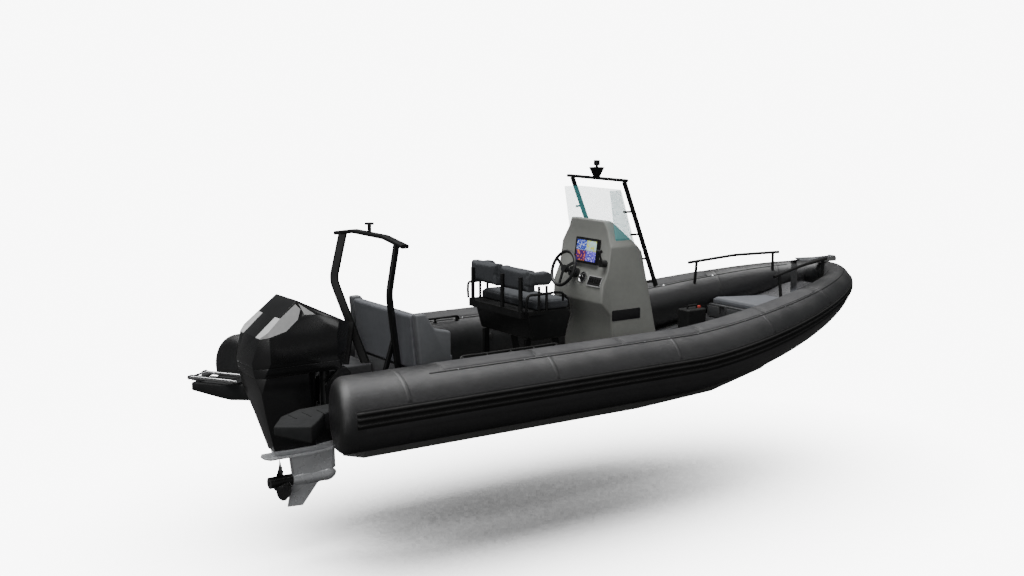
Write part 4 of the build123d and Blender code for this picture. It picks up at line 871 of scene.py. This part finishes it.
def fixings(name, places, look, body="boat", radius=0.006, corners=6):
    # Bolt heads on a list of (place, way) pairs.
    if (look, corners) not in trees:
        trees[look, corners] = boltTree(look, corners)
    mesh = bpy.data.meshes.new(name)
    mesh.from_pydata([tuple(place) for place, way in places], [], [])
    ways = mesh.attributes.new("way", "FLOAT_VECTOR", "POINT")
    ways.data.foreach_set("vector", [float(c) for place, way in places for c in way])
    numbers = {"Radius": radius, "Height": radius * bolt["washerHeight"]}
    heads = trees[look, corners].grown(mesh, numbers)
    return shown(name, heads, look, body)


# Cushions: each starts a little smaller than its solid and swells, flat on what it rests on
fabric = {
    "pressure": 4.0,
    "frames": 20,
    "groove": 0.0022,
    "grooveHalf": 0.0045,
    "pipe": {"Step": 0.012, "Radius": 0.0028},
    "stitch": {"Step": 0.007, "Length": 0.0046, "Radius": 0.0006},
    "fill": 0.6,
}
ahead, upward, backLean = (1, 0, 0), (0, 0, 1), (0.9951, 0, 0.0985)
helmBack = dict(
    voxel=0.007, shrink=(0.006, 0.006, 0.006), crown=ahead, flat=False, rise=0.01, side=0.007,
    seams=((ahead, 1.79), (ahead, 1.742)), stitches=((ahead, 1.783),),
)
cushions = {
    "bench_seat": dict(
        voxel=0.009, shrink=(0.011, 0.01, 0.008), crown=upward, flat=True, rise=0.019, side=0.01,
        seams=((upward, 0.5035),), stitches=((upward, 0.4965),),
    ),
    "bench_back": dict(
        voxel=0.009, shrink=(0.007, 0.01, 0.008), crown=backLean, flat=True, rise=0.015, side=0.009,
        seams=((backLean, 0.714),), stitches=((backLean, 0.706),),
    ),
    "helm_cushion": dict(
        voxel=0.009, shrink=(0.01, 0.01, 0.008), crown=upward, flat=True, rise=0.018, side=0.009,
        seams=((upward, 0.846), (upward, 0.806)), stitches=((upward, 0.8385), (upward, 0.7985)),
    ),
    "helm_back_port": helmBack,
    "helm_back_starboard": helmBack,
    "bow_cushion": dict(
        voxel=0.009, shrink=(0.01, 0.01, 0.006), crown=upward, flat=True, rise=0.017, side=0.009,
        seams=((upward, 0.483),), stitches=((upward, 0.476),),
    ),
}


def placesOf(mesh):
    # The mesh's points as rows.
    places = np.empty(len(mesh.vertices) * 3)
    mesh.vertices.foreach_get("co", places)
    return places.reshape(-1, 3)


def placed(mesh, places):
    mesh.vertices.foreach_set("co", np.asarray(places, float).ravel())
    mesh.update()


def startShape(node, cushion):
    # The solid, a little smaller, its face on what it rests on kept in place, as even small quads.
    shape = bmesh.new()
    shape.from_mesh(frame["nodes"][node].data)
    bmesh.ops.remove_doubles(shape, verts=shape.verts[:], dist=merging)
    mesh = bpy.data.meshes.new(node)
    shape.to_mesh(mesh)
    shape.free()
    places = placesOf(mesh)
    low, high = places.min(0), places.max(0)
    middle = (low + high) / 2
    shrink = np.array(cushion["shrink"])
    places = middle + (places - middle) * (1 - 2 * shrink / (high - low))
    if cushion["flat"]:
        places -= np.array(cushion["crown"]) * abs(np.dot(shrink, cushion["crown"]))
    placed(mesh, places)
    helper = linked(node, mesh)
    remesh = helper.modifiers.new("even", "REMESH")
    remesh.mode = "VOXEL"
    remesh.voxel_size = cushion["voxel"]
    return asMesh(helper)


def swollen(mesh):
    # The mesh after air pressure has filled it.
    helper = linked("swelling", mesh)
    cloth = helper.modifiers.new("swelling", "CLOTH").settings
    cloth.use_pressure = True
    cloth.uniform_pressure_force = fabric["pressure"]
    cloth.effector_weights.gravity = 0
    for number in range(1, fabric["frames"] + 1):
        bpy.context.scene.frame_set(number)
    return asMesh(helper)


def cutLine(mesh, way, offset):
    # The closed line along which a plane cuts the mesh, as loose edges.
    shape = bmesh.new()
    shape.from_mesh(mesh)
    everything = shape.verts[:] + shape.edges[:] + shape.faces[:]
    way = Vector(way)
    cut = bmesh.ops.bisect_plane(shape, geom=everything, plane_co=way * offset, plane_no=way)
    edges = [e for e in cut["geom_cut"] if isinstance(e, bmesh.types.BMEdge)]
    verts = {v: i for i, v in enumerate(dict.fromkeys(v for e in edges for v in e.verts))}
    line = bpy.data.meshes.new("cutLine")
    line.from_pydata([v.co.copy() for v in verts], [[verts[v] for v in e.verts] for e in edges], [])
    shape.free()
    return line


def padded(node, cushion):
    look, body = slotOf[node], bodyOf[node]
    mesh = startShape(node, cushion)
    start = placesOf(mesh)
    crown = np.array(cushion["crown"], float)
    moved = placesOf(swollen(mesh)) - start
    lift = moved @ crown
    sides = moved - lift[:, None] * crown
    reach = np.linalg.norm(sides, axis=1)
    sides *= (cushion["side"] * np.tanh(reach / cushion["side"]) / np.maximum(reach, 1e-9))[:, None]
    lift = cushion["rise"] * np.tanh(lift / cushion["rise"])
    if cushion["flat"]:
        lift = np.maximum(lift, 0)
    mesh = startShape(node, cushion)
    placed(mesh, start + sides + lift[:, None] * crown)
    helper = linked(node, mesh)
    helper.modifiers.new("fine", "SUBSURF").levels = 1
    mesh = asMesh(helper)
    normals = np.array([v.normal[:] for v in mesh.vertices])
    places = placesOf(mesh)
    for way, offset in cushion["seams"]:
        off = places @ np.array(way, float) - offset
        depth = fabric["groove"] * np.exp(-((off / fabric["grooveHalf"]) ** 2))
        places = places - normals * depth[:, None]
    placed(mesh, places)
    if look not in trees:
        trees[look] = pipingTree(look), stitchTree("seam_thread")
    piping, stitching = trees[look]
    for number, (way, offset) in enumerate(cushion["seams"]):
        line = piping.grown(cutLine(mesh, way, offset), fabric["pipe"])
        shown(f"{node}Piping{number}", line, look, body)
    for number, (way, offset) in enumerate(cushion["stitches"]):
        line = stitching.grown(cutLine(mesh, way, offset), fabric["stitch"])
        shown(f"{node}Stitches{number}", line, "seam_thread", body)
    soft = shown(node + "Padded", mesh, look, body, (node,), sharp=80)


for node, cushion in cushions.items():
    padded(node, cushion)
bpy.context.scene.frame_set(1)
print("stage: cushions made")

# Small shapes on flat faces


def roundRect(width, height, radius, steps=4):
    # A rectangle's outline about its middle, with round corners.
    outline = []
    for quarter, (sx, sy) in enumerate(((1, 1), (-1, 1), (-1, -1), (1, -1))):
        for step in range(steps + 1):
            turn = math.radians(90 * (quarter + step / steps))
            x = sx * (width / 2 - radius) + radius * math.cos(turn)
            outline.append((x, sy * (height / 2 - radius) + radius * math.sin(turn)))
    return outline


def flatFace(origin, across, up, out):
    return {"origin": origin, "across": across, "up": up, "out": out}


def onFace(face, across, up, lift=0.0):
    # A point of a flat face: distances along its two ways and off its skin.
    origin, sideways, rising, out = [np.array(face[key], float) for key in face]
    return tuple(origin + sideways * across + rising * up + out * lift)


def panel(pile, face, middle, size, depth, lift=0.0, radius=0.006, bevel=0.0015):
    # A thin plate with round corners.
    outline = [(a + middle[0], b + middle[1]) for a, b in roundRect(*size, radius)]
    pile.plate(outline, onFace(face, 0, 0, lift), face["across"], face["up"], depth, bevel)


def frameRing(pile, face, middle, size, width, depth, lift=0.0):
    # A flat frame round an opening or a screen, made of four strips.
    wide, tall = size
    strips = [(0, sign * (tall - width) / 2, wide, width) for sign in (1, -1)]
    strips += [(sign * (wide - width) / 2, 0, width, tall - 2 * width) for sign in (1, -1)]
    for across, up, *strip in strips:
        panel(pile, face, (middle[0] + across, middle[1] + up), strip, depth, lift, 0.0005, 0.0012)


# Console: the screen's four charts in a surround with its keys
upperDash = flatFace((2.664, 0, 1.04), (0, -1, 0), (0.143, 0, 0.99), (-0.99, 0, 0.143))
lowerDash = flatFace((2.664, 0, 1.04), (0, -1, 0), (0.4157, 0, 0.9095), (-0.9095, 0, 0.4157))
chart = {
    "middle": (0.052, 0.15),
    "screen": (0.292, 0.192),
    "lift": 0.0266,
    "gap": 0.002,
    "depth": 0.0016,
    "surround": (0.31, 0.21),
    "surroundLift": 0.0256,
    "keys": 5,
    "keyStep": 0.03,
    "keyDrop": 0.1085,
    "key": (0.016, 0.006),
}
chartX, chartY = chart["middle"]
wide, tall = [length / 2 for length in chart["screen"]]
quadrants = (("chart_blue", -1, 1), ("chart_pale", 1, 1), ("chart_warm", -1, -1), ("chart_violet", 1, -1))
for look, sideways, rising in quadrants:
    middle = (chartX + sideways * wide / 2, chartY + rising * tall / 2)
    size = (wide - chart["gap"], tall - chart["gap"])
    pile = Pile()
    panel(pile, upperDash, middle, size, chart["depth"], chart["lift"], 0.0008, 0.0004)
    shown(look.replace("_", "") + "Screen", pile, look)
pile = Pile()
lift = chart["surroundLift"]
frameRing(pile, upperDash, chart["middle"], chart["surround"], 0.008, 0.0045, lift)
for number in range(chart["keys"]):
    spot = (chartX + chart["keyStep"] * (number - 2), chartY - chart["keyDrop"])
    panel(pile, upperDash, spot, chart["key"], 0.003, lift, 0.0025, 0.0008)
shown("screenSurround", pile, "black_moulding")

# A round gauge. Rim and dial points are (off the face, in from the rim's radius).
gauge = {
    "middle": (0.059, -0.1),
    "radius": 0.05,
    "sides": 40,
    "rim": (
        (-0.002, 0), (0.006, -0.003), (0.011, -0.001), (0.012, 0.003),
        (0.009, 0.006), (0.005, 0.0065), (-0.002, 0.0065),
    ),
    "dial": ((0.0, 0.006), (0.006, 0.006), (0.0061, 0.05)),
    "ticks": 24,
    "tickReach": 0.039,
    "tick": (0.004, 0.0014, 0.0006),
    "longTick": (0.007, 0.0014, 0.0006),
    "tickLift": 0.0064,
    "needle": (0.034, 0.0016, 0.0008),
    "needleTurn": 130,
    "needleReach": 0.013,
    "needleLift": 0.008,
}
centre, out = onFace(lowerDash, *gauge["middle"]), lowerDash["out"]
for name, look in (("rim", "chrome_trim"), ("dial", "display_screen")):
    profile = [(along, gauge["radius"] - inward) for along, inward in gauge[name]]
    title = "gauge" + name.capitalize()
    slot, sharp = ("stainless", 35) if name == "rim" else (look, 20)
    shown(title, Pile().lathe(centre, out, profile, gauge["sides"]), look, sharp=sharp)


def gaugeMark(pile, degrees, reach, lift, size):
    # A bar on the dial that points away from its middle.
    turn = math.radians(degrees)
    across, up = np.array(lowerDash["across"]), np.array(lowerDash["up"])
    way = across * math.cos(turn) + up * math.sin(turn)
    middle = np.array(centre) + way * reach + np.array(out) * lift
    pile.box(middle, size, axes=[way, np.cross(out, way), out])


pile = Pile()
for tick in range(gauge["ticks"]):
    degrees = 225 - 270 * tick / (gauge["ticks"] - 1)
    size = gauge["tick"] if tick % 4 else gauge["longTick"]
    gaugeMark(pile, degrees, gauge["tickReach"], gauge["tickLift"], size)
gaugeMark(pile, gauge["needleTurn"], gauge["needleReach"], gauge["needleLift"], gauge["needle"])
shown("gaugeMarks", pile, "white_lens")

# A framed plate beside the gauge, with its rocker switches
switchPlate = {
    "middle": (0.237, -0.118),
    "frame": (0.2, 0.1),
    "plate": (0.184, 0.084),
    "switches": 5,
    "step": 0.032,
    "rise": 0.006,
    "rim": (0.022, 0.042),
    "rocker": (0.016, 0.036),
}
middle = switchPlate["middle"]
pile = Pile()
frameRing(pile, lowerDash, middle, switchPlate["frame"], 0.009, 0.006, -0.001)
shown("switchFrame", pile, "light_rim")
pile = Pile()
panel(pile, lowerDash, middle, switchPlate["plate"], 0.0035, -0.001, 0.003)
shown("switchPlate", pile, "black_moulding")
pile = Pile()
for number in range(switchPlate["switches"]):
    spot = (middle[0] + switchPlate["step"] * (number - 2), middle[1] + switchPlate["rise"])
    frameRing(pile, lowerDash, spot, switchPlate["rim"], 0.0025, 0.0022, 0.0022)
    panel(pile, lowerDash, spot, switchPlate["rocker"], 0.006, 0.002, 0.002, 0.0018)
shown("switches", pile, "display_screen")

# A blank plate on each side of the console
sidePlate = {"x": 2.879, "z": 0.6235, "face": 0.3695, "size": (0.33, 0.098), "depth": 0.004, "corner": 0.012}
for side in (1, -1):
    face = flatFace((0, sidePlate["face"] * side, 0), (-side, 0, 0), (0, 0, 1), (0, side, 0))
    middle = (-side * sidePlate["x"], sidePlate["z"])
    pile = Pile()
    panel(pile, face, middle, sidePlate["size"], sidePlate["depth"], 0.0, sidePlate["corner"])
    shown("sidePlate" + sideName(side), pile, "display_screen")

# Bent rails at the helm seat: the tube's radius and the points it runs through on the port side
rails = {
    "helmRail": (0.0115, (
        (1.705, 0.462, 0.775), (1.705, 0.47, 0.86), (1.722, 0.475, 0.914), (1.8, 0.476, 0.918),
        (1.92, 0.476, 0.92), (2.02, 0.475, 0.921), (2.085, 0.468, 0.902), (2.1, 0.452, 0.84),
    )),
    "helmLoop": (0.012, (
        (2.1, 0.36, 0.775), (2.125, 0.372, 0.85), (2.155, 0.38, 0.875), (2.195, 0.38, 0.84),
        (2.213, 0.38, 0.78), (2.208, 0.38, 0.72), (2.185, 0.378, 0.675),
    )),
}
for name, (radius, points) in rails.items():
    for side in (1, -1):
        path = smoothPath([(x, y * side, z) for x, y, z in points], 6)
        shown(name + sideName(side), Pile().tube(path, radius, 14), "black_coated_tube")

# Grab rails on the inner side of both tubes. Foot points are (off the skin, radius).
grab = {
    "from": 0.86,
    "to": 1.78,
    "angle": 36,
    "lift": 0.042,
    "radius": 0.0095,
    "posts": 5,
    "overhang": 0.03,
    "foot": ((-0.004, 0.022), (0.003, 0.022), (0.006, 0.016), (0.012, 0.009), (0.042, 0.008)),
}
for side in (1, -1):
    angle, lift = grab["angle"], grab["lift"]
    runs = np.linspace(runAt(grab["from"]), runAt(grab["to"]), 24)
    path = [wrapped(side, run, angle, lift) for run in runs]
    first = wrapped(side, runs[0] - grab["overhang"], angle, 0.001)
    last = wrapped(side, runs[-1] + grab["overhang"], angle, 0.001)
    pile = Pile().tube(smoothPath([first, *path[::4], path[-1], last], 4), grab["radius"], 12)
    shown("grabRail" + sideName(side), pile, "black_coated_tube")
    pile = Pile()
    for run in np.linspace(runs[0], runs[-1], grab["posts"]):
        foot, top = [wrapped(side, run, angle, height) for height in (0.0, lift)]
        pile.lathe(foot, top - foot, grab["foot"], 18)
    shown("grabPosts" + sideName(side), pile, "black_moulding")

# Fixing studs on the trim lines and inflation valves inboard
studs = {"from": 0.62, "to": 5.4, "every": 0.62, "angles": (-27.7, 34.8), "lift": 0.0035, "radius": 0.0065}
valves = {
    "places": (0.3, 2.1, 3.6),
    "angle": 78,
    "profile": (
        (-0.006, 0.034), (0.003, 0.034), (0.005, 0.031), (0.005, 0.021),
        (0.009, 0.02), (0.011, 0.017), (0.0111, 0.0),
    ),
}
reach = 0.02
for side in (1, -1):
    places = []
    for angle in studs["angles"]:
        for run in np.arange(runAt(studs["from"]), runAt(studs["to"]), studs["every"]):
            foot, top = [wrapped(side, run, angle, lift) for lift in (studs["lift"], reach)]
            places.append((foot, (top - foot) / np.linalg.norm(top - foot)))
    name = "trimStuds" + sideName(side)
    fixings(name, places, "stainless", radius=studs["radius"], corners=12)
    pile = Pile()
    for x in valves["places"]:
        foot, top = [wrapped(side, runAt(x), valves["angle"], lift) for lift in (0.0, reach)]
        pile.lathe(foot, top - foot, valves["profile"], 28)
    shown("valves" + sideName(side), pile, "black_moulding", sharp=30)

# Deck hatches with a frame, a lid and two turn latches each. Columns: x, y, length, width
hatches = ((1.32, 0, 0.46, 0.62), (3.62, 0, 0.44, 0.56))
hatch = {
    "deck": 0.08,
    "margin": 0.05,
    "corner": 0.03,
    "latchIn": (0.05, 0.1),
    "latchLift": 0.002,
    "latch": ((0, 0.024), (0.0022, 0.024), (0.003, 0.021), (0.002, 0.012), (0.0021, 0)),
}
deckTop = flatFace((0, 0, hatch["deck"]), (1, 0, 0), (0, 1, 0), upward)
lids, edges, latches = Pile(), Pile(), Pile()
for x, y, long, wide in hatches:
    size = (long + hatch["margin"], wide + hatch["margin"])
    frameRing(edges, deckTop, (x, y), size, 0.02, 0.003)
    panel(lids, deckTop, (x, y), (long, wide), 0.0025, 0.0, hatch["corner"], 0.001)
    back, inward = hatch["latchIn"]
    for side in (1, -1):
        spot = (x - long / 2 + back, y + side * (wide / 2 - inward), hatch["deck"] + hatch["latchLift"])
        latches.lathe(spot, upward, hatch["latch"], 24)
shown("hatchLids", lids, "deck_nonslip")
shown("hatchFrames", edges, "deck_moulding")
shown("hatchLatches", latches, "stainless")

# Ridges on the stern platforms
ridge = {
    "places": (-0.56, -0.44, -0.32),
    "y": 0.66,
    "z": 0.2415,
    "size": (0.012, 0.16, 0.006),
    "bevel": 0.0025,
}
pile = Pile()
for side in (1, -1):
    for x in ridge["places"]:
        pile.box((x, side * ridge["y"], ridge["z"]), ridge["size"], ridge["bevel"])
shown("platformRidges", pile, "platform_moulding")

# The fuel can's cap
cap = {"place": (4.165, 0.06, 0.497), "profile": ((0, 0.024), (0.018, 0.024), (0.022, 0.021), (0.0221, 0))}
pile = Pile().lathe(cap["place"], upward, cap["profile"], 24)
shown("canCap", pile, "red_moulding")

# Bolts at the arch's feet, the helm's feet and the engine's clamp
bolts = {
    "arch": ((0.51, 0.27), (0.6, 0.27), (0.51, 0.33), (0.6, 0.33)),
    "archLevel": 0.341,
    "helm": (1.77, 2.19),
    "helmY": 0.3,
    "helmOff": 0.02,
    "helmLevel": 0.082,
    "helmRadius": 0.006,
    "clampX": -0.012,
    "clamp": ((0.07, 0.12), (0.07, 0.33), (0.1, 0.12), (0.1, 0.33)),
    "clampRadius": 0.009,
}
places = [((x, y * side, bolts["archLevel"]), upward) for x, y in bolts["arch"] for side in (1, -1)]
off = bolts["helmOff"]
corners = [(dx, dy) for dx in (-off, off) for dy in (-off, off)]
for x in bolts["helm"]:
    for side in (1, -1):
        for dx, dy in corners:
            places.append(((x + dx, side * (bolts["helmY"] + dy), bolts["helmLevel"]), upward))
fixings("deckBolts", places, "stainless", radius=bolts["helmRadius"])
places = [((bolts["clampX"], side * y, z), (-1, 0, 0)) for side in (1, -1) for y, z in bolts["clamp"]]
fixings("clampBolts", places, "engine_black", radius=bolts["clampRadius"])
print("stage: details made")

# Camera, light and floor
view = {"place": (-4.294, -9.073, 2.644), "yaw": 34.20, "pitch": 8.99, "lens": 43.945, "sensor": 36}
cameraData = bpy.data.cameras.new("photoView")
cameraData.lens = view["lens"]
cameraData.sensor_width = view["sensor"]
camera = linked("photoView", cameraData)
camera.location = view["place"]
camera.rotation_euler = (math.radians(90 - view["pitch"]), 0, math.radians(-view["yaw"]))
bpy.context.scene.camera = camera

# The floor and the room look pale, but throw little light back on the boat's sides
room = {
    "height": -1.12,
    "half": 900,
    "pale": (0.9, 0.9, 0.9),
    "speck": (0.92, 0.92, 0.92),
    "dim": (0.06, 0.06, 0.06),
    "glow": 9.6,
    "shadowReach": 2.3,
    "shadowPower": 1.7,
    "backdrop": 8.64,
    "ambient": 0.1,
    "ambientColour": (0.95, 0.98, 1.0, 1.0),
    "sun": 5.8,
    "sunAngle": 60,
    "sunTurn": (-4, -4, 0),
}
half = room["half"]
corners = [(-half, -half, 0), (half, -half, 0), (half, half, 0), (-half, half, 0)]
floorMesh = Pile().add(corners, [[0, 1, 2, 3]]).mesh("floor")
floor = linked("floor", floorMesh)
floor.location.z = room["height"]
floorShade = Shade("paleFloor")
colour = floorShade.mixed(floorShade.noise(2.0, 3.0), room["pale"], room["speck"])
floorShade.feed(floorShade.surface.inputs["Base Color"], colour)
floorShade.surface.inputs["Roughness"].default_value = 0.9
floorShade.surface.inputs["Specular IOR Level"].default_value = 0
values = {"Color": room["pale"], "Strength": room["glow"]}
glow = floorShade.node("ShaderNodeEmission", values, output="Emission")
lit = Wire(floorShade, floorShade.surface.outputs[0])
# The share of open room above a spot of the floor makes the boat's soft shadow there
values = {"Distance": room["shadowReach"]}
openness = floorShade.node("ShaderNodeAmbientOcclusion", values, output="AO")
shadowShare = (openness * -1.0 + 1.0) * room["shadowPower"]
seen = floorShade.node("ShaderNodeMixShader", {0: shadowShare, 1: glow, 2: lit}, output="Shader")
dull = floorShade.node("ShaderNodeBsdfDiffuse", {"Color": room["dim"]}, output="BSDF")
direct = floorShade.node("ShaderNodeLightPath", output="Is Camera Ray")
both = floorShade.node("ShaderNodeMixShader", {0: direct, 1: dull, 2: seen}, output="Shader")
floorOut = floorShade.tree.nodes["Material Output"]
floorShade.tree.links.new(both.socket, floorOut.inputs["Surface"])
floorMesh.materials.append(floorShade.material)

world = bpy.data.worlds.new("paleRoom")
world.use_nodes = True
worldNodes = world.node_tree.nodes
backdrop = worldNodes["Background"]
backdrop.inputs[0].default_value = (1.0, 1.0, 1.0, 1.0)
backdrop.inputs[1].default_value = room["backdrop"]
ambient = worldNodes.new("ShaderNodeBackground")
ambient.inputs[0].default_value = room["ambientColour"]
ambient.inputs[1].default_value = room["ambient"]
path = worldNodes.new("ShaderNodeLightPath")
mixer = worldNodes.new("ShaderNodeMixShader")
worldLinks = world.node_tree.links
worldLinks.new(path.outputs["Is Camera Ray"], mixer.inputs[0])
worldLinks.new(ambient.outputs[0], mixer.inputs[1])
worldLinks.new(backdrop.outputs[0], mixer.inputs[2])
worldLinks.new(mixer.outputs[0], worldNodes["World Output"].inputs["Surface"])
bpy.context.scene.world = world

softbox = bpy.data.lights.new("softbox", "SUN")
softbox.energy = room["sun"]
softbox.angle = math.radians(room["sunAngle"])
softboxLamp = linked("softbox", softbox)
softboxLamp.rotation_euler = [math.radians(turn) for turn in room["sunTurn"]]
# Area lights: place, what they face, size, power
lights = {
    "left": ((-6, -8, 3.0), (1.5, 0, 0.8), (4, 3), 260),
    "bowSide": ((7, -9, 5), (4.0, 0, 0.4), (4, 3), 80),
}
for name, (place, target, size, power) in lights.items():
    data = bpy.data.lights.new(name, "AREA")
    data.shape = "RECTANGLE"
    data.size, data.size_y = size
    data.energy = power
    lamp = linked(name, data)
    lamp.location = place
    lamp.rotation_euler = (Vector(target) - Vector(place)).to_track_quat("-Z", "Y").to_euler()
print("stage: camera and light set")
